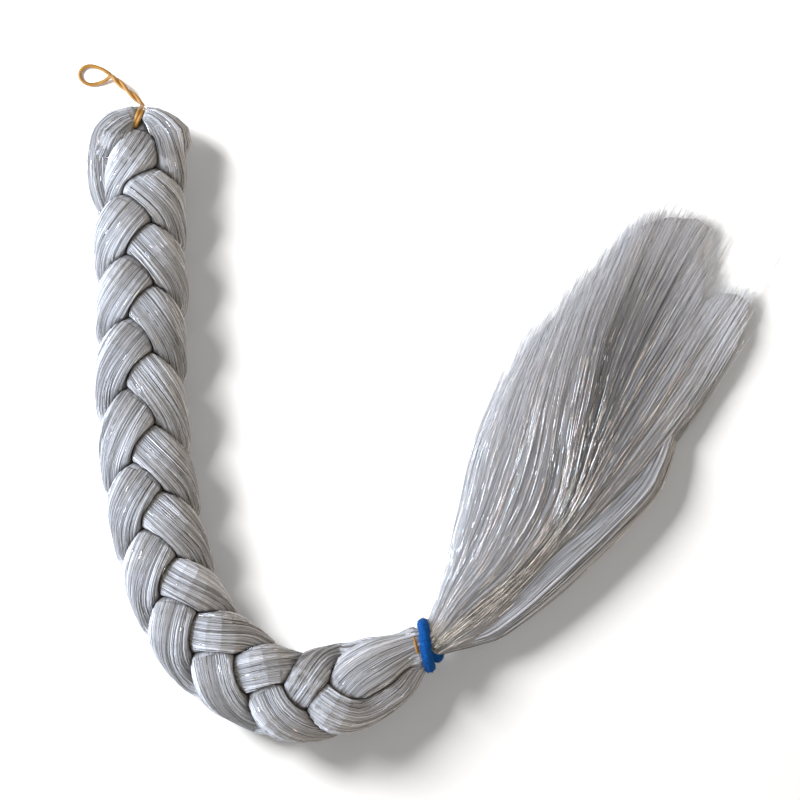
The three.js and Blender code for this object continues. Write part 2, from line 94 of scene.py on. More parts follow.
def surfaced(material, values, links={}):
    """The material with its surface, from set values and the outputs of its other nodes."""
    surface = add_node(material, "ShaderNodeBsdfPrincipled", values=values, links=links)
    add_node(material, "ShaderNodeOutputMaterial", links={"Surface": surface.outputs["BSDF"]})
    return material


def show(name, data, material):
    """Puts a mesh or curve in the scene under its name, with its material."""
    data.name = name
    data.materials.append(material)
    piece = bpy.data.objects.new(name, data)
    scene.collection.objects.link(piece)
    return piece


camera = bpy.data.objects.new("camera", bpy.data.cameras.new("camera"))
camera.data.sensor_width = SENSOR_WIDTH
camera.data.lens = SENSOR_WIDTH * (CAMERA_HEIGHT - FOCUS_HEIGHT) / FIELD_WIDTH
camera.location = (VIEW_CENTRE[0] * MM, VIEW_CENTRE[1] * MM, CAMERA_HEIGHT * MM)
scene.collection.objects.link(camera)
scene.camera = camera
scene.view_settings.view_transform = "Standard"

paper_white = surfaced(new_material("matt white table"), {
    "Base Color": linear("#f4f4f4"), "Roughness": 0.9, "Specular IOR Level": 0.1,
    "Emission Color": linear("#ffffff"), "Emission Strength": 0.12})
table_form = bmesh.new()
bmesh.ops.create_grid(table_form, x_segments=1, y_segments=1, size=TABLE_HALF * MM)
table_mesh = bpy.data.meshes.new("table")
table_form.to_mesh(table_mesh)
table_form.free()
table = show("table", table_mesh, paper_white)
table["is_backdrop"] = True

scene.world = bpy.data.worlds.new("room")
scene.world.use_nodes = True
room_light = scene.world.node_tree.nodes["Background"]
room_light.inputs["Color"].default_value = linear("#fdf8f2")
room_light.inputs["Strength"].default_value = 0.25

# Lamps: name, colour, watts, size, place it stands, and what it lights.
LAMPS = (
    ("table_lamp", "#ffffff", 34, 500, (-870, 500, 600), "table"),
    ("window", "#dce7fa", 34, 1000, (-1000, -40, 480), "hair"),
    ("ceiling", "#fff1e2", 6, 900, (-200, 200, 1200), "hair"),
    ("warm_fill", "#ffe3c8", 2, 600, (800, -200, 500), "hair"),
)
lit_by = {"table": bpy.data.collections.new("lit table"), "hair": bpy.data.collections.new("lit hair")}
lit_by["table"].objects.link(table)
for name, colour, watts, size, place, lights in LAMPS:
    lamp = bpy.data.objects.new(name, bpy.data.lights.new(name, "AREA"))
    lamp.data.color = linear(colour)[:3]
    lamp.data.energy = watts
    lamp.data.size = size * MM
    lamp.location = Vector(place) * MM
    lamp.rotation_euler = (-lamp.location).to_track_quat("-Z", "Y").to_euler()
    lamp.light_linking.receiver_collection = lit_by[lights]
    scene.collection.objects.link(lamp)

# Elastic loop
# A thin amber rubber cord, doubled through the fold of the hair. Its two halves twist round each other
# along a short stem, open into an eye to hang the bundle by, and lie on the table.
LOOP_CORD = 0.95
STEM_FOOT = Vector((-140.0, 161.2, 10.5))
STEM_FORK = Vector((-154.4, 174.4, 2.3))
STEM_RADIUS = 0.9 * LOOP_CORD
STEM_POINTS = 9
CORD_SMOOTHNESS = 4
ROUTE_SMOOTHNESS = 8
LOOP_EYE = (
    (-158.6, 177.7, 1.5), (-162.3, 179.5, 1.0), (-166.8, 180.3, 1.0),
    (-170.0, 178.9, 1.0), (-171.4, 175.7, 1.0), (-170.0, 172.8, 1.0),
    (-166.8, 171.1, 1.0), (-163.3, 171.2, 1.0), (-159.6, 172.4, 1.5),
)
AMBER_DARK = "#7e4f16"
AMBER_LIGHT = "#b98a34"
UP = Vector((0, 0, 1))


def amber_rubber():
    """Natural rubber elastic, dyed amber: smooth, a little waxy, and glowing where it is thin."""
    material = new_material("amber rubber elastic")
    place = add_node(material, "ShaderNodeTexCoord").outputs["Object"]
    blotch_mm = 3.0
    blotch = add_node(material, "ShaderNodeTexNoise", values={"Scale": 1 / (blotch_mm * MM), "Detail": 3.0},
                      links={"Vector": place})
    tint = add_node(material, "ShaderNodeMix", options={"data_type": "RGBA"},
                    links={"Factor": blotch.outputs["Fac"]})
    tint.inputs["A"].default_value = linear(AMBER_DARK)
    tint.inputs["B"].default_value = linear(AMBER_LIGHT)
    grain_mm = 0.35
    grain = add_node(material, "ShaderNodeTexNoise", values={"Scale": 1 / (grain_mm * MM), "Detail": 2.0},
                     links={"Vector": place})
    relief = add_node(material, "ShaderNodeBump", values={"Strength": 0.3, "Distance": 0.05 * MM},
                      links={"Height": grain.outputs["Fac"]})
    return surfaced(material, {
        "Roughness": 0.42, "IOR": 1.52, "Subsurface Weight": 0.25, "Subsurface Radius": (1.0, 0.5, 0.15),
        "Subsurface Scale": 0.6 * MM},
        {"Base Color": tint.outputs["Result"], "Normal": relief.outputs["Normal"]})


def stem_points(half):
    """One half of the twisted stem, from its foot at the wrap to the fork."""
    along = (STEM_FORK - STEM_FOOT).normalized()
    level = UP.cross(along).normalized()
    steep = along.cross(level)
    points = []
    for n in range(STEM_POINTS):
        f = n / (STEM_POINTS - 1)
        turn = 2 * math.pi * f + half * math.pi - math.pi / 2
        offset = level * math.cos(turn) + steep * math.sin(turn)
        points.append(STEM_FOOT.lerp(STEM_FORK, f) + STEM_RADIUS * offset)
    return points


def cord_curve(name):
    """An empty curve that draws its routes as amber cord."""
    curve = bpy.data.curves.new(name, "CURVE")
    curve.dimensions = "3D"
    curve.bevel_depth = LOOP_CORD * MM
    curve.bevel_resolution = CORD_SMOOTHNESS
    curve.resolution_u = ROUTE_SMOOTHNESS
    curve.use_fill_caps = True
    return curve


def make_loop():
    """The loop as one curve: out along the stem, round the eye, and back along the stem's other half."""
    route = [*stem_points(0), *map(Vector, LOOP_EYE), *reversed(stem_points(1))]
    curve = cord_curve("elastic_loop")
    spline = curve.splines.new("BEZIER")
    spline.bezier_points.add(len(route) - 1)
    for knot, point in zip(spline.bezier_points, route):
        knot.co = point * MM
        knot.handle_left_type = "AUTO"
        knot.handle_right_type = "AUTO"
    return curve


AMBER = amber_rubber()
elastic_loop = show("elastic_loop_cord", make_loop(), AMBER)
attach(elastic_loop, "root")
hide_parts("elastic_loop")

# Elastic wrap
# The same amber elastic wound twice round the fold of the hair, where it pinches the bundle. The turns
# lie side by side and cross over once, and the loop's two ends tuck under them.
# A band's values: the place and heading of its middle, the radius of its cord, how often it is wound, and
# its radius across the hair and upwards. The turns of a double band lie splay apart and cross over at
# cross_angle. Settle is how short the climb over is, and sink how much lower it is at the outer end.
# Close brings the turns together at the inner end, lean and under shift them at the outer end and below.
PLAIN_BAND = {"settle": 2, "close": 0, "sink": 0, "lean": 0, "under": 0}
ELASTIC_WRAP = {
    **PLAIN_BAND,
    "centre": (-140.8, 154.5, 14.2), "heading": -23, "cord": LOOP_CORD, "turns": 2, "splay": 0.9,
    "cross_angle": -2.2, "radius_across": 4.2, "radius_up": 6.2,
}
BAND_STEPS = 64
BAND_SIDES = 14
STEM_KNOT = Vector((-139.1, 159.6, 10.6))


def loft(rings, attributes={}, joined=False):
    """A skin through rings of points: a circle that is extruded from ring to ring. Its ends are capped, or
    the last ring is bridged to the first. Each attribute holds a vector for every point of every ring."""
    form = bmesh.new()
    layers = {name: form.verts.layers.float_vector.new(name) for name in attributes}

    def set_ring(verts, n):
        for k, vert in enumerate(verts):
            vert.co = rings[n][k] * MM
            for name, layer in layers.items():
                vert[layer] = attributes[name][n][k]

    ring = bmesh.ops.create_circle(form, segments=len(rings[0]), radius=1)["verts"]
    set_ring(ring, 0)
    edges = list(form.edges)
    first_edges = edges
    if not joined:
        bmesh.ops.contextual_create(form, geom=edges)
    for n in range(1, len(rings)):
        made = bmesh.ops.extrude_edge_only(form, edges=edges)["geom"]
        fresh = {g for g in made if isinstance(g, bmesh.types.BMVert)}
        ring = [next(e.other_vert(v) for e in v.link_edges if e.other_vert(v) in fresh) for v in ring]
        edges = [g for g in made if isinstance(g, bmesh.types.BMEdge) and set(g.verts) <= fresh]
        set_ring(ring, n)
    if joined:
        bmesh.ops.bridge_loops(form, edges=edges + first_edges)
    else:
        bmesh.ops.contextual_create(form, geom=edges)
    bmesh.ops.recalc_face_normals(form, faces=form.faces)
    for face in form.faces:
        face.smooth = True
    mesh = bpy.data.meshes.new("loft")
    form.to_mesh(mesh)
    form.free()
    return mesh


def unit(vectors):
    """Vectors at length one."""
    return vectors / np.linalg.norm(vectors, axis=-1, keepdims=True)


def band_axes(band):
    """The band's axis along the hair, and the level direction across it."""
    heading = math.radians(band["heading"])
    axis = np.array((math.cos(heading), math.sin(heading), 0))
    return axis, np.array((-axis[1], axis[0], 0))


def band_rings(band, steps, sides):
    """Rings of a closed cord that is wound round a neck of hair, once or twice."""
    axis, across = band_axes(band)
    wind = 2 * math.pi * np.arange(band["turns"] * steps) / steps
    turn = wind + band["cross_angle"] - math.pi
    doubled = band["turns"] == 2
    turn_gap = 0.2
    apart = np.cos(wind / 2)
    inner = np.maximum(0, np.cos(turn)) ** 4
    outer = np.maximum(0, -np.cos(turn)) ** 2
    climb = (2 * band["cord"] + turn_gap) * (1 - apart ** band["settle"]) * (1 - band["sink"] * outer)
    hop = np.where(wind < 2 * math.pi, climb, 0) * doubled
    below = np.maximum(0, -np.sin(turn)) ** 2
    spread = apart * (1 - band["close"] * inner) + band["lean"] * outer + band["under"] * below
    aside = band["splay"] * spread * doubled
    up = np.array(UP)
    radial = np.cos(turn)[:, None] * across + np.sin(turn)[:, None] * up
    middle = (np.array(band["centre"]) + ((band["radius_across"] + hop) * np.cos(turn))[:, None] * across
              + ((band["radius_up"] + hop) * np.sin(turn))[:, None] * up + aside[:, None] * axis)
    round_cord = 2 * math.pi * np.arange(sides) / sides
    out = np.cos(round_cord)[:, None, None] * axis + np.sin(round_cord)[:, None, None] * radial
    return middle, np.swapaxes(out, 0, 1)


def make_band(band):
    """A plain band as a mesh."""
    middle, out = band_rings(band, BAND_STEPS, BAND_SIDES)
    return loft(middle[:, None] + band["cord"] * out, joined=True)


def make_ends():
    """The loop's two ends as short cords, from the foot of the stem to where they tuck under the wrap."""
    curve = cord_curve("elastic_ends")
    overlap = 0.15
    for half in range(2):
        foot, further = stem_points(half)[:2]
        route = (foot.lerp(further, overlap), foot, foot + STEM_KNOT - STEM_FOOT)
        spline = curve.splines.new("POLY")
        spline.points.add(len(route) - 1)
        for knot, point in zip(spline.points, route):
            knot.co = (*(point * MM), 1)
    return curve


elastic_wrap = show("elastic_wrap_band", make_band(ELASTIC_WRAP), AMBER)
elastic_ends = show("elastic_wrap_ends", make_ends(), AMBER)
for piece in (elastic_wrap, elastic_ends):
    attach(piece, "root")
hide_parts("elastic_wrap")

# Plaited strands
# Three thick strands of kinkless synthetic fibre mixed with tinsel. They arch out of the knot and cross
# over each other down to the tie, each pressed against its neighbours where they meet.
# The plait's route, a row for each section: place, crossings so far, a strand's swing sideways and lift,
# and a free strand's half width and half depth.
BRAID_COLUMNS = ("x", "y", "crossings", "swing", "lift", "half_width", "half_depth")
BRAID_ROWS = (
    (-141.0, 155.5, -0.3, 14.0, 6.8, 3.6, 5.0),
    (-141.0, 146.5, 0.2, 15.0, 6.8, 9.5, 8.0),
    (-140.8, 137.5, 1.1, 14.7, 9.0, 12.0, 8.5),
    (-140.8, 112.5, 2.8, 14.0, 9.0, 12.0, 8.5),
    (-140.5, 87.5, 4.4, 14.1, 9.0, 12.0, 8.5),
    (-139.5, 62.5, 6.0, 14.0, 9.0, 12.0, 8.5),
    (-140.3, 37.5, 7.5, 13.7, 9.0, 12.0, 8.5),
    (-140.0, 12.5, 8.9, 13.8, 9.0, 12.0, 8.5),
    (-138.0, -12.5, 10.2, 14.1, 9.0, 12.0, 8.5),
    (-134.5, -37.5, 11.8, 14.4, 9.0, 12.0, 8.5),
    (-130.0, -60.0, 13.1, 14.0, 9.0, 12.0, 8.5),
    (-123.5, -82.5, 14.5, 14.0, 9.0, 12.0, 8.5),
    (-110.5, -106.5, 16.3, 14.6, 9.0, 12.0, 8.5),
    (-95.5, -120.5, 17.6, 14.6, 9.0, 12.0, 8.5),
    (-80.5, -129.8, 18.7, 14.1, 9.0, 12.0, 8.5),
    (-64.0, -136.0, 19.9, 14.0, 9.0, 12.0, 8.5),
    (-39.0, -132.0, 22.0, 13.7, 9.0, 12.0, 8.5),
    (-19.0, -122.8, 22.5, 10.5, 7.4, 12.0, 8.2),
    (-6.5, -115.0, 22.6, 6.0, 4.8, 7.6, 6.2),
    (3.2, -110.2, 22.7, 3.6, 3.6, 4.4, 4.4),
)
BRAID = dict(zip(BRAID_COLUMNS, np.array(BRAID_ROWS).T))
LAST_ROW = len(BRAID_ROWS) - 1
BRAID_HEIGHT = 14.2
EARLY_RISE = 0.5
# How each strand leaves the knot: from start beside it the strand arches out to reach, over drop rows, and
# sits rise above the plait's middle. It joins the plait's swing between two rows, and its lift between two
# others. Bow is how soon the arch straightens, and flare how straight down it leaves.
CROWN_COLUMNS = ("name", "order", "start", "reach", "bow", "flare", "drop", "rise", "join_from", "join_to",
                 "level_from", "level_to")
CROWN_ROWS = (
    ("strand_left", 0, 1.2, -15.5, 2.4, 0.6, 2.6, 0.0, 1.6, 3.1, 1.2, 3.0),
    ("strand_middle", 1, 3.4, 0.0, 1.0, 1.0, 1.6, -3.6, 0.7, 3.7, 0.7, 2.1),
    ("strand_right", 2, 3.0, 11.5, 2.2, 1.0, 1.6, 3.0, 1.9, 2.8, 1.9, 2.8),
)
CROWN = [dict(zip(CROWN_COLUMNS, row)) for row in CROWN_ROWS]
STRAND_STATIONS = 280
STRAND_SIDES = 54
STRAND_GIRTH = 11.0
PATTERN_APART = 40
STRAND_SEED = 10
FULLNESS = 2.3
FIBRE_ROLL = 1.1
SNUG = 0.1
SOFT_EDGE = 1.2
LEAST_REACH = 0.2
# Locks within a strand: their height, how many there are round it, how far they drift sideways, over what
# length, and the range in which a wave begins.
STRAND_RELIEF = 0.16
STRAND_WAVES = (9, 27)
ROW_LENGTH = 30
WAVE_STEP = 5
WAVE_DRIFT = 0.9
WAVE_SWAY = (30, 80)
ANY_PHASE = (0, 6)
# Creases: painted shade where hair is pressed against a neighbour, for the shadow there: how dark it is
# painted, and how free the skin is where that begins and ends.
CREASE_SHADE = 0.5
CREASE_FREEDOM = (-0.6, 2.2)


def smooth_between(a, b, c, d, f):
    """Smooth curve from b to c at the share f, where a comes before them and d after."""
    before = (c - a) / 2
    after = (d - b) / 2
    step = c - b
    return b + f * (before + f * (3 * step - 2 * before - after + f * (before + after - 2 * step)))


def column(values, row):
    """Smooth curve through a table's column, with the row number as its parameter."""
    last = len(values) - 1
    i = np.clip(np.floor(row).astype(int), 0, last - 1)
    four = (values[np.clip(i + n, 0, last)] for n in (-1, 0, 1, 2))
    return smooth_between(*four, row - i)


def smoothstep(x, low, high):
    """Smooth change from 0 at low to 1 at high."""
    f = np.clip((x - low) / (high - low), 0, 1)
    return f * f * (3 - 2 * f)


def braid_at(row):
    """The plait's middle, and its side towards the inside of the bend."""
    step = 0.01
    near = (row - step, row, row + step)
    place = [np.stack([column(BRAID["x"], r), column(BRAID["y"], r)], -1) for r in near]
    along = unit(place[2] - place[0])
    side = np.stack([-along[:, 1], along[:, 0], np.zeros(len(row))], -1)
    return np.column_stack([place[1], np.full(len(row), BRAID_HEIGHT)]), side


def strand_phase(strand, row):
    """A strand's turn through the plait: a sixth of a circle for each crossing."""
    return math.pi / 3 * (column(BRAID["crossings"], row) - 2 - 2 * strand["order"])


def strand_path(strand, row):
    """Middle of a strand: an arch out of the knot, then a figure of eight across the plait."""
    middle, side = braid_at(row)
    phase = strand_phase(strand, row)
    opened = (1 - np.maximum(0, 1 - row / strand["drop"]) ** strand["bow"]) ** strand["flare"]
    join = smoothstep(row, strand["join_from"], strand["join_to"])
    swing = column(BRAID["swing"], row) * np.sin(phase)
    lift = column(BRAID["lift"], row) * np.sin(2 * phase + EARLY_RISE)
    across = (strand["start"] + strand["reach"] * opened) * (1 - join) + swing * join
    level = smoothstep(row, strand["level_from"], strand["level_to"])
    height = strand["rise"] * (1 - level) + lift * level
    return middle + across[:, None] * side + height[:, None] * np.array(UP)


def distances(points):
    """How far along a line each of its points lies."""
    return np.concatenate([[0], np.cumsum(np.linalg.norm(np.diff(points, axis=0), axis=1))])


def strand_rows(strand):
    """Rows of the route at which a strand's stations lie the same distance apart, and its length."""
    fine_rows = 4000
    crowding = 1.5
    fine = LAST_ROW * np.linspace(0, 1, fine_rows) ** crowding
    reached = distances(strand_path(strand, fine))
    return np.interp(np.linspace(0, reached[-1], STRAND_STATIONS), reached, fine), reached[-1]


def ridges(turn, along, seed, waves_round):
    """Locks within a strand: waves round it that drift along it, between about -1 and 1."""
    rng = np.random.default_rng(seed)
    total = np.zeros(np.broadcast(turn, along).shape)
    coarse, fine = waves_round
    for waves in range(coarse, fine, WAVE_STEP):
        drift = rng.uniform(-WAVE_DRIFT, WAVE_DRIFT)
        sway = rng.uniform(*WAVE_SWAY)
        begin = rng.uniform(0, 2 * math.pi)
        bend = np.sin(along / sway + rng.uniform(*ANY_PHASE))
        total += np.cos(waves * turn + begin + drift * bend)
    return total / math.sqrt((fine - coarse) / WAVE_STEP)


def room_to(neighbours, middle, out, rows):
    """How far each ray may reach before it is as near to a neighbour's middle as to its own."""
    nearby_rows = 1.8
    most_room = 60.0
    barely = 1e-6
    room = np.full(out.shape[:2], most_room)
    for other_rows, other_middle in neighbours:
        for n in range(len(middle)):
            close = other_middle[np.abs(other_rows - rows[n]) < nearby_rows]
            gap = close - middle[n]
            facing = out[n] @ gap.T + SNUG
            reach = ((gap ** 2).sum(1) - SNUG ** 2) / (2 * np.maximum(facing, barely))
            room[n] = np.minimum(room[n], np.where(facing > 0, reach, most_room).min(axis=1))
    return room


def soft_least(a, b):
    """The lesser of two lengths, rounded where they are nearly equal."""
    return 0.5 * (a + b - np.sqrt((a - b) ** 2 + SOFT_EDGE ** 2))


def strand_form(strand, rows, neighbours, seed):
    """Rings of a strand's skin, the way out at each point, how free it is of its neighbours, and its turn."""
    middle = strand_path(strand, rows)
    along = unit(np.gradient(middle, axis=0))
    side = braid_at(rows)[1]
    phase = strand_phase(strand, rows)
    lean = math.pi / 2 * (1 - np.cos(phase))
    facing = np.cos(lean)[:, None] * np.array(UP) + np.sin(lean)[:, None] * side
    v = unit(facing - (facing * along).sum(1, keepdims=True) * along)
    u = np.cross(v, along)
    turn = 2 * math.pi * (np.arange(STRAND_SIDES) + 0.5) / STRAND_SIDES
    rolled = turn - FIBRE_ROLL * np.cos(phase)[:, None]
    out = np.cos(rolled)[..., None] * u[:, None] + np.sin(rolled)[..., None] * v[:, None]
    wide = column(BRAID["half_width"], rows)[:, None]
    deep = column(BRAID["half_depth"], rows)[:, None]
    corner = np.abs(np.cos(rolled) / wide) ** FULLNESS + np.abs(np.sin(rolled) / deep) ** FULLNESS
    free = corner ** (-1 / FULLNESS)
    room = room_to(neighbours, middle, out, rows)
    reach = np.maximum(soft_least(free, room), LEAST_REACH * free)
    reach = reach + STRAND_RELIEF * ridges(turn[None], rows[:, None] * ROW_LENGTH, seed, STRAND_WAVES)
    rings = middle[:, None] + reach[..., None] * out
    rings[..., 2] = np.maximum(rings[..., 2], 0)
    return rings, out, room - free, turn


def ramp(material, share, *stops):
    """A blend of colours by a share, through stops that each have their share and their colour."""
    blend = add_node(material, "ShaderNodeValToRGB", links={"Fac": share})
    elements = blend.color_ramp.elements
    for element, (place, colour) in zip(elements, (stops[0], stops[-1])):
        element.position = place
        element.color = linear(colour)
    for place, colour in stops[1:-1]:
        elements.new(place).color = linear(colour)
    return blend.outputs["Color"]


def silver_fibre():
    """Modacrylic fibre, drawn smooth and dyed silver grey: long soft streaks, and a silky sheen."""
    material = new_material("silver synthetic fibre")
    place = add_node(material, "ShaderNodeAttribute", options={"attribute_name": "fibre"}).outputs["Vector"]
    streaks = []
    for width_mm, length_mm in ((0.5, 40), (1.8, 70)):
        scale = (1 / width_mm, 1 / width_mm, 1 / length_mm)
        scaled = add_node(material, "ShaderNodeMapping", values={"Scale": scale}, links={"Vector": place})
        streaks.append(add_node(material, "ShaderNodeTexNoise", values={"Scale": 1.0, "Detail": 2.0},
                                links={"Vector": scaled.outputs["Vector"]}).outputs["Fac"])
    both = add_node(material, "ShaderNodeMath", options={"operation": "MULTIPLY_ADD"}, values={1: 0.5},
                    links={0: streaks[1]})
    material.node_tree.links.new(streaks[0], both.inputs[2])
    tint = ramp(material, both.outputs["Value"], (0.5, "#67645f"), (0.95, "#b9babc"))
    # The skin's shade attribute is multiplied into its colour: painted shade in creases and in the tail's
    # streaks, and painted light and shade on the tail's locks.
    shade = add_node(material, "ShaderNodeAttribute", options={"attribute_name": "shade"}).outputs["Vector"]
    shaded = add_node(material, "ShaderNodeVectorMath", options={"operation": "MULTIPLY"},
                      links={0: tint, 1: shade})
    relief = add_node(material, "ShaderNodeBump", values={"Strength": 0.7, "Distance": 0.25 * MM},
                      links={"Height": both.outputs["Value"]})
    return surfaced(material, {"Roughness": 0.65, "IOR": 1.45},
                    {"Base Color": shaded.outputs["Vector"], "Normal": relief.outputs["Normal"]})


STRAND_HAIR = silver_fibre()
strand_rows_of = [strand_rows(strand) for strand in CROWN]
strand_forms = []
for i, strand in enumerate(CROWN):
    rows, length = strand_rows_of[i]
    others = [j for j in range(len(CROWN)) if j != i]
    neighbours = [(strand_rows_of[j][0], strand_path(CROWN[j], strand_rows_of[j][0])) for j in others]
    rings, out, freedom, turn = strand_form(strand, rows, neighbours, STRAND_SEED + i)
    pattern = np.empty_like(rings)
    pattern[..., 0] = STRAND_GIRTH * np.cos(turn)
    pattern[..., 1] = STRAND_GIRTH * np.sin(turn) + PATTERN_APART * i
    pattern[..., 2] = np.linspace(0, length, STRAND_STATIONS)[:, None]
    # Painted shade: the skin is darkened where it is pressed against a neighbour, for the shadow in the
    # crease.
    shade = CREASE_SHADE + (1 - CREASE_SHADE) * smoothstep(freedom, *CREASE_FREEDOM)
    attributes = {"fibre": pattern, "shade": np.repeat(shade[..., None], 3, axis=-1)}
    core = show(strand["name"] + "_core", loft(rings, attributes), STRAND_HAIR)
    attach(core, "root")
    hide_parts(strand["name"])
    strand_forms.append((rings, out, freedom, shade))

# Outer lock
# The outermost hair of the left strand, of the same fibre. It runs on down the plait's left edge, past the
# first crossing, before it turns in under the next one.
# A row for each section: its middle, and its half width and half depth.
OUTER_COLUMNS = ("x", "y", "z", "half_width", "half_depth")
OUTER_ROWS = (
    (-145.0, 154.5, 14.0, 3.0, 4.0),
    (-151.5, 152.0, 13.5, 5.5, 7.0),
    (-157.5, 145.5, 13.0, 6.5, 8.0),
    (-159.8, 136.5, 12.0, 6.6, 8.6),
    (-160.4, 126.5, 11.0, 6.6, 8.6),
    (-159.2, 116.5, 10.0, 6.2, 8.0),
    (-156.0, 107.5, 8.0, 5.0, 6.4),
    (-151.0, 99.5, 6.0, 3.0, 3.6),
)
OUTER = dict(zip(OUTER_COLUMNS, np.array(OUTER_ROWS).T))
OUTER_STATIONS = 60
OUTER_SIDES = 40
OUTER_GIRTH = 7.0
OUTER_FREEDOM = 2.0


def outer_form():
    """Rings of the outer lock, the way out at each point, and its fibre pattern."""
    row = np.linspace(0, len(OUTER_ROWS) - 1, OUTER_STATIONS)
    x, y, z, wide, deep = (column(OUTER[name], row) for name in OUTER_COLUMNS)
    middle = np.stack([x, y, z], -1)
    along = unit(np.gradient(middle, axis=0))
    side = unit(np.cross(np.array(UP), along))
    over = np.cross(along, side)
    turn = 2 * math.pi * (np.arange(OUTER_SIDES) + 0.5) / OUTER_SIDES
    reach = (wide[:, None] * np.cos(turn))[..., None] * side[:, None]
    reach = reach + (deep[:, None] * np.sin(turn))[..., None] * over[:, None]
    rings = middle[:, None] + reach
    rings[..., 2] = np.maximum(rings[..., 2], 0)
    reached = distances(middle)[:, None]
    pattern = np.broadcast_arrays(OUTER_GIRTH * np.cos(turn), OUTER_GIRTH * np.sin(turn), reached)
    return rings, unit(reach), np.stack(pattern, -1)


outer_rings, outer_out, outer_pattern = outer_form()
outer_lit = np.ones(outer_rings.shape[:2])
outer_attributes = {"fibre": outer_pattern, "shade": np.ones_like(outer_rings)}
outer_lock = show("strand_left_outer_lock", loft(outer_rings, outer_attributes), STRAND_HAIR)
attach(outer_lock, "root")

# Inner band
# A thin amber rubber band under the hair tie. It was put on first to hold the end of the plait, and shows
# beside the tie.
INNER_BAND = {
    **PLAIN_BAND,
    "centre": (-2.3, -111.5, 14.2), "heading": 14, "cord": 0.9, "turns": 1, "splay": 0,
    "cross_angle": math.pi, "radius_across": 9.0, "radius_up": 9.8,
}
inner_band = show("inner_band_rubber", make_band(INNER_BAND), AMBER)
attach(inner_band, "root")
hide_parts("inner_band")

# Loose fibres and tinsel of the plait
# The outermost fibres of each strand, drawn a few times thicker than real ones so that they show, and the
# narrow metallised film that is mixed in. Both follow the strand and dive under where the next one crosses.
STRAND_FIBRES = 330
STRAND_TINSELS = 1300
OUTER_FIBRES = 110
OUTER_TINSELS = 160
FIBRE_SEED = 40
FIBRE_RADIUS = (0.1, 0.18)
FIBRE_HEIGHT = (0.28, 0.55)
FIBRE_TONE = (0.56, 0.3)
TUCK_DEPTH = 0.4
TINSEL_RADIUS = (0.05, 0.1)
TINSEL_LENGTH = (1.5, 4.5)
TINSEL_HEIGHT = (0.45, 0.7)
TINSEL_ROLL = 1.2
TINSEL_FLATNESS = 0.3
# How the fibres wander round their skin, counted in its sides and stations, and where they are seen: how
# free of its neighbours the skin is there, and how far it faces upwards.
STRAND_WANDER = 1.6
WANDER_STATIONS = (8, 30)
WANDER_SHARE = (0.2, 1)
LEAST_STATIONS = 6
STATION_STEP = 2
SEEN_FREEDOM = -0.6
SEEN_UPWARDS = -0.5
# Fibres over the inner band: how far out they lie there, over what length they rise to it, and the stretch
# across the bundle where they leave the band bare.
BAND_COVER = 10.5
BAND_COVER_LENGTH = 7.0
BAND_SHOWS = (-1.0, 5.0)


def skin_lines(rings, out, shade, seen, count, wander, rng):
    """Lines that wander along a skin, split into the runs where it is seen: points, ways out and shade."""
    stations, sides = seen.shape
    n = np.arange(stations)
    lines = []
    for start in rng.uniform(0, sides, count):
        wave = np.sin(n / rng.uniform(*WANDER_STATIONS) + rng.uniform(*ANY_PHASE))
        sway = wander * wave * rng.uniform(*WANDER_SHARE)
        place = (start + sway) % sides
        left = place.astype(int) % sides
        right = (left + 1) % sides
        f = (place - np.floor(place))[:, None]
        points = (1 - f) * rings[n, left] + f * rings[n, right]
        ways = unit((1 - f) * out[n, left] + f * out[n, right])
        shown = seen[n, left]
        edges = np.flatnonzero(np.diff(np.concatenate([[0], shown.astype(int), [0]])))
        for first, last in edges.reshape(-1, 2):
            run = slice(max(first - 1, 0), min(last + 1, stations), STATION_STEP)
            if last - first >= LEAST_STATIONS:
                lines.append((points[run], ways[run], shade[n, left][run]))
    return lines


def tuck(points, ways, height):
    """A line raised above its skin, with both ends tucked under it."""
    f = np.linspace(0, 1, len(points))
    sunk = np.maximum(0, 1 - np.minimum(f, 1 - f) * (len(points) - 1))
    return points + (height - (height + TUCK_DEPTH) * sunk)[:, None] * ways


def over_band(line):
    """A line of the plait lifted over the inner band, but for the short stretch where the band shows."""
    points, ways, shade = line
    axis, across = band_axes(INNER_BAND)
    offset = points - np.array(INNER_BAND["centre"])
    along = offset @ axis
    radial = offset - along[:, None] * axis
    reach = np.linalg.norm(radial, axis=1)
    side = offset @ across
    low, high = BAND_SHOWS
    covered = 1 - smoothstep(side, low - 1, low) * (1 - smoothstep(side, high, high + 1))
    lift = covered * np.maximum(0, BAND_COVER - reach) * np.exp(-(along / BAND_COVER_LENGTH) ** 2)
    return points + (lift / reach)[:, None] * radial, ways, shade


def thread_mesh(threads):
    """Closed three-sided threads in one mesh. A thread is its points, the way that it faces, its half width
    and half thickness there, and a tone between 0 and 1 that its material reads."""
    points, faces, tones = [], [], []
    first = 0
    for line, ways, wide, thick, tone in threads:
        count = len(line)
        along = unit(np.gradient(line, axis=0))
        side = unit(np.cross(along, ways))
        face = np.cross(side, along)
        size = np.broadcast_to(wide, count)[:, None]
        depth = np.broadcast_to(thick, count)[:, None]
        corners = [line + math.cos(a) * size * side + math.sin(a) * depth * face
                   for a in (math.pi / 2, math.pi * 7 / 6, math.pi * 11 / 6)]
        points.append(np.stack(corners, 1).reshape(-1, 3))
        ring = first + 3 * np.arange(count - 1)
        for a, b in ((0, 1), (1, 2), (2, 0)):
            faces += np.stack([ring + b, ring + a, ring + a + 3, ring + b + 3], 1).tolist()
        last = first + 3 * (count - 1)
        faces += [[first, first + 1, first + 2], [last + 2, last + 1, last]]
        tones.append(np.repeat(np.broadcast_to(tone, count), 3))
        first += 3 * count
    mesh = bpy.data.meshes.new("threads")
    mesh.from_pydata((np.concatenate(points) * MM).tolist(), [], faces)
    mesh.attributes.new("tone", "FLOAT", "POINT").data.foreach_set("value", np.concatenate(tones))
    return mesh


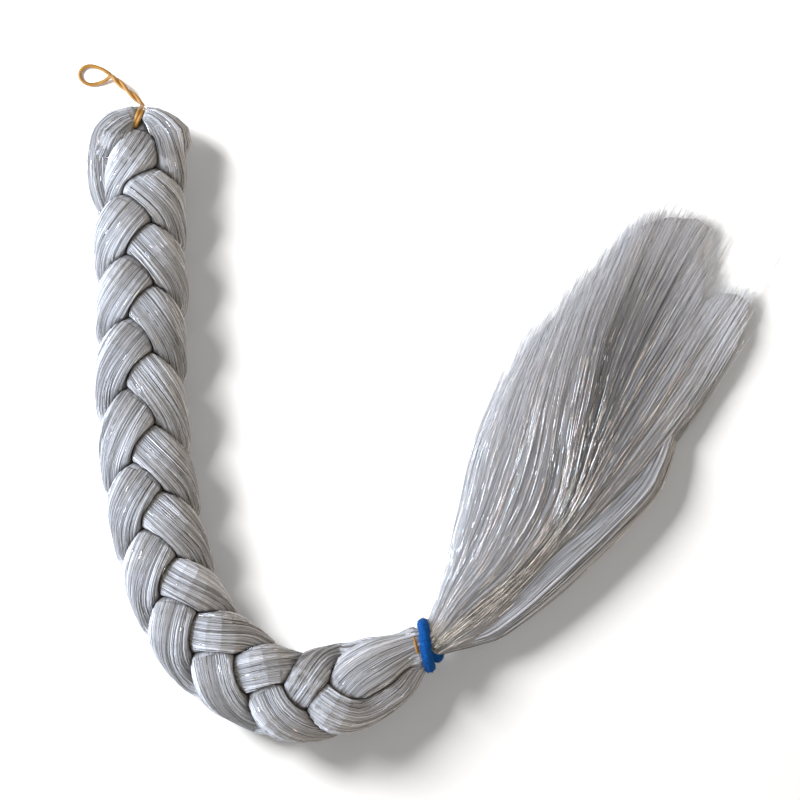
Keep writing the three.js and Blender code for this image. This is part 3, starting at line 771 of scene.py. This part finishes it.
def loose_fibre():
    """Single modacrylic fibres, silver grey: each has its own tone, which also carries painted light and
    shade, with the same silky sheen.
    """
    material = new_material("loose silver fibre")
    tone = add_node(material, "ShaderNodeAttribute", options={"attribute_name": "tone"}).outputs["Fac"]
    tint = ramp(material, tone, (0, "#3b372f"), (1, "#e3e5e8"))
    return surfaced(material, {"Roughness": 0.6, "IOR": 1.45}, {"Base Color": tint})


def metallised_film():
    """Polyester film coated with aluminium, slit into threads: mirror bright, with a faint rainbow tint."""
    material = new_material("metallised film")
    tone = add_node(material, "ShaderNodeAttribute", options={"attribute_name": "tone"}).outputs["Fac"]
    tint = ramp(material, tone, (0, "#d8eff5"), (0.25, "#ffffff"), (0.8, "#fffdf6"), (1, "#f7e6ee"))
    return surfaced(material, {"Roughness": 0.24, "Metallic": 1.0}, {"Base Color": tint})


def fibres_on(lines, rng):
    """Fibres laid on a skin's lines, with painted shade in the creases."""
    threads = []
    for points, ways, shade in lines:
        radius = rng.uniform(*FIBRE_RADIUS)
        raised = tuck(points, ways, rng.uniform(*FIBRE_HEIGHT))
        # Painted shade: the fibre's tone is darkened where its skin is.
        tone = np.clip(rng.normal(*FIBRE_TONE), 0, 1) * shade
        threads.append((raised, ways, radius, radius, tone))
    return threads


def tinsel_on(lines, count, radius, rng):
    """Short glints of tinsel: a straight bit beside a line, narrow and turned at random about its length."""
    threads = []
    for _ in range(count):
        points, ways, _ = lines[rng.integers(len(lines))]
        n = rng.integers(len(points) - 1)
        step = points[n + 1] - points[n]
        along = unit(step)
        middle = points[n] + rng.uniform() * step + rng.uniform(*TINSEL_HEIGHT) * ways[n]
        line = middle + rng.uniform(*TINSEL_LENGTH) * np.array((-0.5, 0, 0.5))[:, None] * along
        roll = rng.uniform(-TINSEL_ROLL, TINSEL_ROLL)
        facing = math.cos(roll) * ways[n] + math.sin(roll) * np.cross(along, ways[n])
        facing = np.broadcast_to(facing, line.shape)
        wide = rng.uniform(*radius)
        threads.append((line, facing, wide, TINSEL_FLATNESS * wide, rng.uniform(0, 1)))
    return threads


LOOSE_FIBRE = loose_fibre()
TINSEL = metallised_film()
fibre_skins = [(strand["name"], *form, STRAND_FIBRES, STRAND_TINSELS)
               for strand, form in zip(CROWN, strand_forms)]
fibre_skins.append(("strand_left_outer", outer_rings, outer_out, OUTER_FREEDOM * outer_lit, outer_lit,
                    OUTER_FIBRES, OUTER_TINSELS))
for n, (name, rings, out, freedom, shade, fibres, tinsels) in enumerate(fibre_skins):
    rng = np.random.default_rng(FIBRE_SEED + n)
    seen = (freedom > SEEN_FREEDOM) & (out[..., 2] > SEEN_UPWARDS)
    lines = [over_band(line) for line in skin_lines(rings, out, shade, seen, fibres, STRAND_WANDER, rng)]
    kinds = (("_fibres", fibres_on(lines, rng), LOOSE_FIBRE),
             ("_tinsel", tinsel_on(lines, tinsels, TINSEL_RADIUS, rng), TINSEL))
    for suffix, threads, material in kinds:
        piece = show(name + suffix, thread_mesh(threads), material)
        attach(piece, "root")

# Hair tie
# A thick elastic covered in soft looped yarn, dyed blue and wound twice round the end of the plait. Its
# turns lie on each other above and splay apart at the lower end.
HAIR_TIE = {
    "centre": (2.4, -111.0, 14.2), "heading": 14, "cord": 2.8, "turns": 2, "splay": 3.6,
    "cross_angle": 1.57, "settle": 8, "close": 0.45, "sink": 0.28, "lean": 0.5, "under": 0.9,
    "radius_across": 6.2, "radius_up": 5.4,
}
TIE_STEPS = 150
TIE_SIDES = 30
# The yarn's lumps as shares of the cord's radius: ribs that cross, and a slower swelling.
RIB_SHARE = 0.05
SWELL_SHARE = 0.03
# Its fuzz: how many ends, where one begins and how it spreads and curls, and the shares of its length at
# which its points lie.
TIE_FUZZ = 2400
FUZZ_SEED = 60
FUZZ_LENGTH = (0.25, 0.6)
FUZZ_RADIUS = 0.07
FUZZ_SCATTER = 0.15
FUZZ_SPREAD = 0.45
FUZZ_CURL = 0.3
FUZZ_SHARES = (-0.3, 0.5, 1.0)


def looped_yarn():
    """Looped polyamide yarn over a rubber core: dull, soft, with a light bloom where it turns away."""
    material = new_material("blue looped yarn")
    place = add_node(material, "ShaderNodeTexCoord").outputs["Object"]
    loop_mm = 0.8
    loops = add_node(material, "ShaderNodeTexNoise", values={"Scale": 1 / (loop_mm * MM), "Detail": 4.0},
                     links={"Vector": place})
    tint = ramp(material, loops.outputs["Fac"], (0.3, "#032f60"), (0.72, "#0c57a0"))
    relief = add_node(material, "ShaderNodeBump", values={"Strength": 0.8, "Distance": 0.25 * MM},
                      links={"Height": loops.outputs["Fac"]})
    return surfaced(material, {
        "Roughness": 0.95, "Specular IOR Level": 0.15, "Sheen Weight": 0.15, "Sheen Roughness": 0.5,
        "Sheen Tint": linear("#5a9ae0")},
        {"Base Color": tint, "Normal": relief.outputs["Normal"]})


def tie_form():
    """The tie's rings with the yarn's lumps, and the way out of its cord at each point."""
    middle, out = band_rings(HAIR_TIE, TIE_STEPS, TIE_SIDES)
    wind = 2 * math.pi * np.arange(len(middle))[:, None] / TIE_STEPS
    turn = 2 * math.pi * np.arange(TIE_SIDES)[None] / TIE_SIDES
    ribs = np.sin(24 * wind + 2 * turn) * np.sin(5 * turn - 17 * wind)
    swelling = np.sin(9 * wind + turn)
    radius = HAIR_TIE["cord"] * (1 + RIB_SHARE * ribs + SWELL_SHARE * swelling)
    return middle[:, None] + radius[..., None] * out, out


def fuzz(rings, out, count, rng):
    """Short yarn ends that stand off a skin every way."""
    threads = []
    for _ in range(count):
        n = rng.integers(rings.shape[0])
        k = rng.integers(rings.shape[1])
        way = unit(out[n, k] + rng.normal(0, FUZZ_SPREAD, 3))
        length = rng.uniform(*FUZZ_LENGTH)
        root = rings[n, k] + rng.normal(0, FUZZ_SCATTER, 3)
        curl = rng.normal(0, FUZZ_CURL, 3)
        line = np.stack([root + (f * way + f * f * curl) * length for f in FUZZ_SHARES])
        facing = np.broadcast_to(unit(np.cross(way, rng.normal(0, 1, 3))), line.shape)
        threads.append((line, facing, FUZZ_RADIUS, FUZZ_RADIUS, rng.uniform(0, 1)))
    return threads


YARN = looped_yarn()
tie_rings, tie_out = tie_form()
hair_tie = show("hair_tie_yarn", loft(tie_rings, joined=True), YARN)
yarn_ends = fuzz(tie_rings, tie_out, TIE_FUZZ, np.random.default_rng(FUZZ_SEED))
tie_fuzz = show("hair_tie_fuzz", thread_mesh(yarn_ends), YARN)
for piece in (hair_tie, tie_fuzz):
    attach(piece, "root")
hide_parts("hair_tie")

# Tail
# The loose hair below the tie. Most of it fans out over the table as one crowned body and ends in ragged
# cuts in two groups, and a side lock lies along its right edge. Single fibres and tinsel cover both.
TAIL_START = np.array((8.9, -106.8, 0))
TAIL_ALONG = unit(np.array((0.604, 0.797, 0)))
TAIL_ACROSS = np.cross(TAIL_ALONG, np.array(UP))
# The body, a row for each section: distance from the tie, left and right edge, and the heights of its
# crest, of its widest line and of its underside.
BODY_COLUMNS = ("along", "left", "right", "crest", "brim", "underside")
BODY_ROWS = (
    (-8, -10.0, 5.0, 22.0, 14.2, 6.4),
    (0, -9.5, 9.0, 21.5, 13.0, 4.8),
    (8, -11.0, 16.0, 20.5, 10.5, 2.4),
    (20, -15.5, 20.0, 20.0, 7.5, 0.8),
    (40, -23.5, 21.5, 20.0, 5.0, 0.2),
    (62, -33.5, 22.5, 20.0, 4.0, 0.0),
    (96, -45.5, 29.0, 19.5, 3.5, 0.0),
    (127, -52.0, 33.5, 18.0, 3.2, 0.0),
    (150, -52.5, 36.0, 16.0, 3.0, 0.0),
    (180, -48.0, 33.0, 13.0, 2.6, 0.0),
    (200, -41.0, 30.0, 9.0, 2.2, 0.0),
    (212, -35.0, 25.0, 4.5, 1.6, 0.0),
)
BODY = dict(zip(BODY_COLUMNS, np.array(BODY_ROWS, float).T))
# The fan's fibres follow guides: how far across each lies at distances from the tie. The left ones run on
# past the outline, where their ends make the frayed edge.
GUIDE_ALONG = np.array((-8, 0, 20, 50, 90, 130, 170, 210, 250), float)
GUIDE_PLACE = np.array((0, 0.3, 0.52, 0.8, 1))
GUIDES = np.array((
    (-8.0, -8.5, -15.5, -28.0, -45.0, -55.0, -62.0, -68.0, -72.0),
    (-2.0, -1.0, 0.2, 4.0, -2.0, -21.5, -38.0, -48.5, -58.0),
    (0.5, 2.0, 6.5, 12.0, 10.5, -5.0, -22.0, -33.5, -42.0),
    (2.0, 4.0, 10.0, 15.5, 16.0, 9.5, 5.0, 1.5, -1.0),
    (4.5, 8.0, 17.0, 21.5, 27.0, 33.5, 35.0, 31.0, 27.0),
))
# Painted shade in the valleys between the fan's locks: dark streaks, with the fibre each follows, its width
# as a share of the fan, and how dark it is. The fan's lightness is painted light and shade: the left lock
# faces the window and is painted lighter, and the middle looks away and is painted darker.
SHADE_STREAKS = (
    (0.13, 0.015, 0.2), (0.22, 0.015, 0.25), (0.31, 0.02, 0.35), (0.42, 0.015, 0.3), (0.535, 0.025, 0.5),
    (0.62, 0.015, 0.35), (0.69, 0.02, 0.4), (0.79, 0.02, 0.45), (0.88, 0.015, 0.3), (0.98, 0.04, 0.5),
)
STREAK_STEADY = 0.75
STREAK_LENGTH = 23
TONE_PLACE = (0, 0.25, 0.4, 0.6, 0.8, 0.9, 1)
TONE = (0.72, 0.52, 0.32, 0.15, 0.2, 0.42, 0.48)
# Where the fibres end: the outline's left edge, and the cut across the tips.
EDGE_ALONG = (0, 87, 127, 147, 187, 227, 250)
EDGE_LEFT = (-60, -60, -53, -56, -51.5, -46, -30)
CUT_ACROSS = (-50, -43, -30, -18, -12, -5, 2, 10, 17, 23, 27, 32)
CUT_ALONG = (226, 232, 243, 248, 241, 230, 218, 226, 232, 227, 216, 205)
# Locks that lie against the body: the side lock along its right edge, and the two groups of cut ends.
LOCK_COLUMNS = ("along", "across", "height", "half_width", "half_depth")
SIDE_LOCK_ROWS = (
    (-6, 3.0, 13.0, 3.0, 4.0),
    (4, 9.0, 10.5, 4.5, 5.0),
    (18, 18.0, 8.6, 6.0, 7.4),
    (40, 24.0, 8.4, 7.0, 8.2),
    (62, 28.0, 8.4, 8.4, 8.4),
    (96, 34.0, 8.0, 7.4, 8.0),
    (122, 37.0, 7.0, 6.8, 7.0),
    (134, 35.5, 6.4, 5.8, 6.2),
    (146, 32.5, 5.5, 4.6, 5.2),
    (158, 29.0, 4.4, 3.0, 3.8),
)
UPPER_TIP_ROWS = (
    (160, -8.0, 4.5, 30.0, 4.0),
    (190, -12.0, 4.2, 34.0, 4.0),
    (212, -19.0, 3.6, 26.0, 3.4),
    (226, -23.0, 3.0, 20.0, 2.8),
    (238, -24.0, 2.5, 11.0, 2.2),
    (246, -20.0, 2.0, 4.0, 1.6),
)
RIGHT_TIP_ROWS = (
    (160, 20.0, 4.2, 14.0, 3.8),
    (190, 19.0, 3.8, 14.0, 3.6),
    (212, 17.0, 3.2, 13.0, 3.0),
    (223, 17.0, 2.6, 9.5, 2.4),
    (228, 19.5, 2.0, 4.0, 1.6),
)
SIDE_LOCK, UPPER_TIP, RIGHT_TIP = (dict(zip(LOCK_COLUMNS, np.array(rows).T))
                                   for rows in (SIDE_LOCK_ROWS, UPPER_TIP_ROWS, RIGHT_TIP_ROWS))
# Name, table, the painted light and shade on the lock's left and right side, and its seed: the cut ends are
# painted lighter, and the side lock darker on its left, where the body shades it.
TAIL_LOCKS = (
    ("tail_upper_tips", UPPER_TIP, (1.4, 1.4), 72),
    ("tail_right_tips", RIGHT_TIP, (1.3, 1.3), 73),
    ("tail_side_lock", SIDE_LOCK, (0.6, 1.15), 74),
)
BODY_STATIONS = 90
BODY_SIDES = 150
BODY_CURVE = 0.9
FAN_WIDTH = 90
FAN_RELIEF = 0.22
FAN_WAVES = (5, 28)
FAN_SEED = 71
LOCK_STATIONS = 60
LOCK_SIDES = 44
LOCK_RELIEF = 0.04
LOCK_WAVES = (6, 22)
# Fibres of the fan: where they begin, how uneven their cut is, how many stray past it and how far, how they
# drift and wave as shares of the fan, and how high they lie above the skin.
TAIL_SEED = 90
BODY_FIBRES = 860
FIBRE_STATIONS = 32
FIBRE_START = (-6, 2)
CUT_UNEVEN = 2.0
STRAY_SHARE = 0.2
STRAY_LENGTH = 4.0
FIBRE_DRIFT = 0.02
FIBRE_WAVE = 0.006
FIBRE_WAVE_LENGTH = (12, 40)
FAN_HEIGHT = (0.0, 0.45)
LEAST_HEIGHT = 0.3
EASED_STATIONS = 7
SIDE_FACING = 0.5
# Towards the tips they spread, lift off the table, get thinner, and are painted lighter for the light they
# catch.
TIP_SPREAD = 1.6
TIP_LIFT = 0.8
TIP_THINNER = 0.5
TIP_LIGHTER = 1.2
FAN_RADIUS = (0.1, 0.17)
TONE_VARIES = 0.26
SIDE_LOCK_FIBRES = 150
SIDE_LOCK_WANDER = 1.5
SIDE_LOCK_SEEN = -0.1
TAIL_TINSELS = 120
TAIL_GLINTS = 1500
TAIL_TINSEL_RADIUS = (0.04, 0.07)
TINSEL_TWIST = (14, 30)


def at_distance(table, name, along):
    """A table's column at distances along the tail."""
    return column(table[name], np.interp(along, table["along"], np.arange(len(table["along"]))))


def tail_place(along, across, height):
    """A point of the tail from its distance, its place across and its height."""
    forward = np.asarray(along)[..., None] * TAIL_ALONG
    sideways = np.asarray(across)[..., None] * TAIL_ACROSS
    return TAIL_START + forward + sideways + np.asarray(height)[..., None] * np.array(UP)


def guide_across(along, place):
    """How far across a fibre of the fan lies."""
    row = np.interp(along, GUIDE_ALONG, np.arange(len(GUIDE_ALONG)))
    levels = np.stack([column(guide, row) for guide in GUIDES], -1)
    return column_between(levels, np.interp(place, GUIDE_PLACE, np.arange(len(GUIDE_PLACE))))


def column_between(levels, row):
    """The same smooth curve as column, for a list of values of its own at each point."""
    last = levels.shape[-1] - 1
    i = np.clip(np.floor(row).astype(int), 0, last - 1)
    near = (np.clip(i + n, 0, last)[..., None] for n in (-1, 0, 1, 2))
    four = (np.take_along_axis(levels, n, -1)[..., 0] for n in near)
    return smooth_between(*four, row - i)


def fan_place(along, across):
    """Which fibre of the fan passes through a place: the guides read the other way round."""
    samples = 101
    places = np.linspace(0, 1, samples)
    found = np.empty(np.shape(across))
    for n, distance in enumerate(along):
        found[n] = np.interp(across[n], guide_across(np.full(samples, distance), places), places)
    return found


def fan_locks(place, along):
    """Height of the locks within the fan: ridges that follow its fibres."""
    return FAN_RELIEF * ridges(2 * math.pi * place, along, FAN_SEED, FAN_WAVES)


def fan_shade(place, along):
    """How light the fan is beside its streaks of painted shade between locks, which come and go along it."""
    shade = np.ones(np.broadcast(place, along).shape)
    for n, (middle, width, dark) in enumerate(SHADE_STREAKS):
        wave = np.sin(along / STREAK_LENGTH + 2 * n)
        strength = dark * (STREAK_STEADY + (1 - STREAK_STEADY) * wave)
        shade = shade * (1 - strength * np.exp(-((place - middle) / width) ** 2))
    return shade


def body_top(along, across):
    """Height of the body's upper side, and how far across it lies from its crest, from -1 to 1."""
    left, right, crest, brim = (at_distance(BODY, name, along) for name in BODY_COLUMNS[1:-1])
    aside = np.clip((2 * across - left - right) / (right - left), -1, 1)
    return brim + (crest - brim) * (1 - aside ** 2) ** (BODY_CURVE / 2), aside


def tip_top(tip, along, across):
    """Height of a group of cut ends, and nothing beside it."""
    middle, height, wide, deep = (at_distance(tip, name, along) for name in LOCK_COLUMNS[1:])
    aside = np.clip((across - middle) / wide, -1, 1)
    there = (along > tip["along"][0]) & (along < tip["along"][-1]) & (np.abs(aside) < 1)
    return there * (height + deep * np.sqrt(1 - aside ** 2))


def body_form():
    """Rings of the body's skin, its fibre pattern, and the painted shade of its streaks."""
    along = np.linspace(BODY["along"][0], BODY["along"][-1], BODY_STATIONS)
    turn = 2 * math.pi * (np.arange(BODY_SIDES) + 0.5) / BODY_SIDES
    values = (at_distance(BODY, name, along)[:, None] for name in BODY_COLUMNS[1:])
    left, right, crest, brim, underside = values
    across = (left + right) / 2 + (right - left) / 2 * np.cos(turn)
    far = np.broadcast_to(along[:, None], across.shape)
    full = np.abs(np.sin(turn)) ** BODY_CURVE
    height = np.where(np.sin(turn) > 0, brim + (crest - brim) * full, brim - (brim - underside) * full)
    place = fan_place(along, across)
    height = height + fan_locks(place, far) * np.maximum(np.sin(turn), 0)
    rings = tail_place(far, across, np.maximum(height, 0))
    pattern = np.stack([FAN_WIDTH * place, np.sin(turn) + 0 * far, far], -1)
    return rings, pattern, np.repeat(fan_shade(place, far)[..., None], 3, axis=-1)


def lock_form(lock, seed):
    """Rings of a lock's skin, the way out at each point, and its fibre pattern."""
    along = np.linspace(lock["along"][0], lock["along"][-1], LOCK_STATIONS)
    turn = 2 * math.pi * (np.arange(LOCK_SIDES) + 0.5) / LOCK_SIDES
    across, height, wide, deep = (at_distance(lock, name, along)[:, None] for name in LOCK_COLUMNS[1:])
    far = np.broadcast_to(along[:, None], (LOCK_STATIONS, LOCK_SIDES))
    relief = 1 + LOCK_RELIEF * ridges(turn, far, seed, LOCK_WAVES)
    rings = tail_place(far, across + wide * np.cos(turn) * relief,
                       np.maximum(height + deep * np.sin(turn) * relief, 0))
    out = np.cos(turn)[:, None] * TAIL_ACROSS + np.sin(turn)[:, None] * np.array(UP)
    pattern = np.stack([wide * np.cos(turn), wide * np.sin(turn) + seed, far], -1)
    return rings, np.broadcast_to(out, rings.shape), pattern


def fan_end(place, along):
    """How far a fibre of the fan reaches before it meets the outline's left edge or the cut."""
    across = guide_across(along, np.full(len(along), place))
    past_edge = across < np.interp(along, EDGE_ALONG, EDGE_LEFT)
    past_cut = along > np.interp(across, CUT_ACROSS, CUT_ALONG)
    outside = past_edge | past_cut
    return along[np.argmax(outside)] if outside.any() else along[-1]


def fan_fibres(places, rng):
    """Fibres of the fan, from inside the tie to their ragged ends."""
    fine_steps = 400
    fine = np.linspace(0, GUIDE_ALONG[-1], fine_steps)
    body_end = BODY["along"][-1]
    lines = []
    for place in places:
        ragged = rng.normal(0, CUT_UNEVEN)
        if rng.random() < STRAY_SHARE:
            ragged += rng.exponential(STRAY_LENGTH)
        end = fan_end(place, fine) + ragged
        start = rng.uniform(*FIBRE_START)
        along = np.linspace(start, end, FIBRE_STATIONS)
        share = (along - start) / (end - start)
        drift = rng.normal(0, FIBRE_DRIFT) * share
        wave = np.sin(along / rng.uniform(*FIBRE_WAVE_LENGTH) + rng.uniform(*ANY_PHASE))
        wander = np.clip(place + (drift + FIBRE_WAVE * wave), 0, 1)
        across = guide_across(along, wander) + rng.normal(0, TIP_SPREAD) * share ** 3
        top, aside = body_top(np.minimum(along, body_end), across)
        top = np.where(along < body_end, top + fan_locks(wander, along), 0)
        tips = (tip_top(tip, along, across) for tip in (UPPER_TIP, RIGHT_TIP))
        height = np.maximum(top, np.maximum(*tips))
        padded = np.pad(height, EASED_STATIONS // 2, mode="edge")
        eased = np.convolve(padded, np.ones(EASED_STATIONS) / EASED_STATIONS, mode="valid")
        height = np.maximum(height, eased) + rng.uniform(*FAN_HEIGHT) + rng.exponential(TIP_LIFT) * share ** 4
        points = tail_place(along, across, np.maximum(height, LEAST_HEIGHT))
        ways = unit(tail_place(0 * along, SIDE_FACING * aside, 1 + 0 * along) - TAIL_START)
        # Painted light and shade in the tone: lighter on the side that faces the window and towards the tips,
        # darker in the middle and in the streaks.
        tone = np.interp(place, TONE_PLACE, TONE) + TIP_LIGHTER * share ** 5
        lines.append((points, ways, tone * fan_shade(wander, along)))
    return lines


def hair_threads(lines, rng):
    """Fibres as threads that thin towards their cut ends."""
    threads = []
    for points, ways, tone in lines:
        radius = rng.uniform(*FAN_RADIUS) * (1 - TIP_THINNER * np.linspace(0, 1, len(points)) ** 3)
        threads.append((points, ways, radius, radius, np.clip(tone * rng.normal(1, TONE_VARIES), 0, 1)))
    return threads


def twisted_tinsel(lines, count, rng):
    """Long threads of tinsel among the fan's fibres, slowly twisted so that they flash here and there."""
    threads = []
    for n in rng.choice(len(lines), count, replace=False):
        points, ways, _ = lines[n]
        along = unit(np.gradient(points, axis=0))
        roll = distances(points) / rng.uniform(*TINSEL_TWIST) + rng.uniform(0, 2 * math.pi)
        facing = np.cos(roll)[:, None] * ways + np.sin(roll)[:, None] * np.cross(along, ways)
        wide = rng.uniform(*TAIL_TINSEL_RADIUS)
        raised = points + rng.uniform(*TINSEL_HEIGHT) * ways
        threads.append((raised, facing, wide, TINSEL_FLATNESS * wide, rng.uniform(0, 1)))
    return threads


body_rings, body_pattern, body_shade = body_form()
tail_body = show("tail_body", loft(body_rings, {"fibre": body_pattern, "shade": body_shade}), STRAND_HAIR)
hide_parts("tail")
tail_pieces = [tail_body]
for name, lock, painted_light, seed in TAIL_LOCKS:
    lock_rings, lock_out, lock_pattern = lock_form(lock, seed)
    # Painted light and shade across the lock, from its left side to its right; its fibres below take the
    # same.
    rightness = (1 + lock_out @ TAIL_ACROSS) / 2
    lit = np.interp(rightness, (0, 1), painted_light)
    attributes = {"fibre": lock_pattern, "shade": np.broadcast_to(lit[..., None], lock_rings.shape)}
    tail_pieces.append(show(name, loft(lock_rings, attributes), STRAND_HAIR))
rng = np.random.default_rng(TAIL_SEED)
glint_lines = []
for name, low, high in (("tail_fibres_left", 0.0, 0.5), ("tail_fibres_right", 0.5, 1.0)):
    lines = fan_fibres(rng.uniform(low, high, BODY_FIBRES), rng)
    glint_lines += lines
    tail_pieces.append(show(name, thread_mesh(hair_threads(lines, rng)), LOOSE_FIBRE))
# The side lock came last, so its skin is still at hand.
lock_seen = lock_out[..., 2] > SIDE_LOCK_SEEN
side_lines = skin_lines(lock_rings, lock_out, lit, lock_seen, SIDE_LOCK_FIBRES, SIDE_LOCK_WANDER, rng)
glint_lines += side_lines
tail_pieces.append(show("tail_side_lock_fibres", thread_mesh(fibres_on(side_lines, rng)), LOOSE_FIBRE))
tinsel_threads = twisted_tinsel(glint_lines, TAIL_TINSELS, rng)
tinsel_threads += tinsel_on(glint_lines, TAIL_GLINTS, TAIL_TINSEL_RADIUS, rng)
tail_pieces.append(show("tail_tinsel", thread_mesh(tinsel_threads), TINSEL))
for piece in tail_pieces:
    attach(piece, "root")

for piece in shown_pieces():
    lit_by["hair"].objects.link(piece)
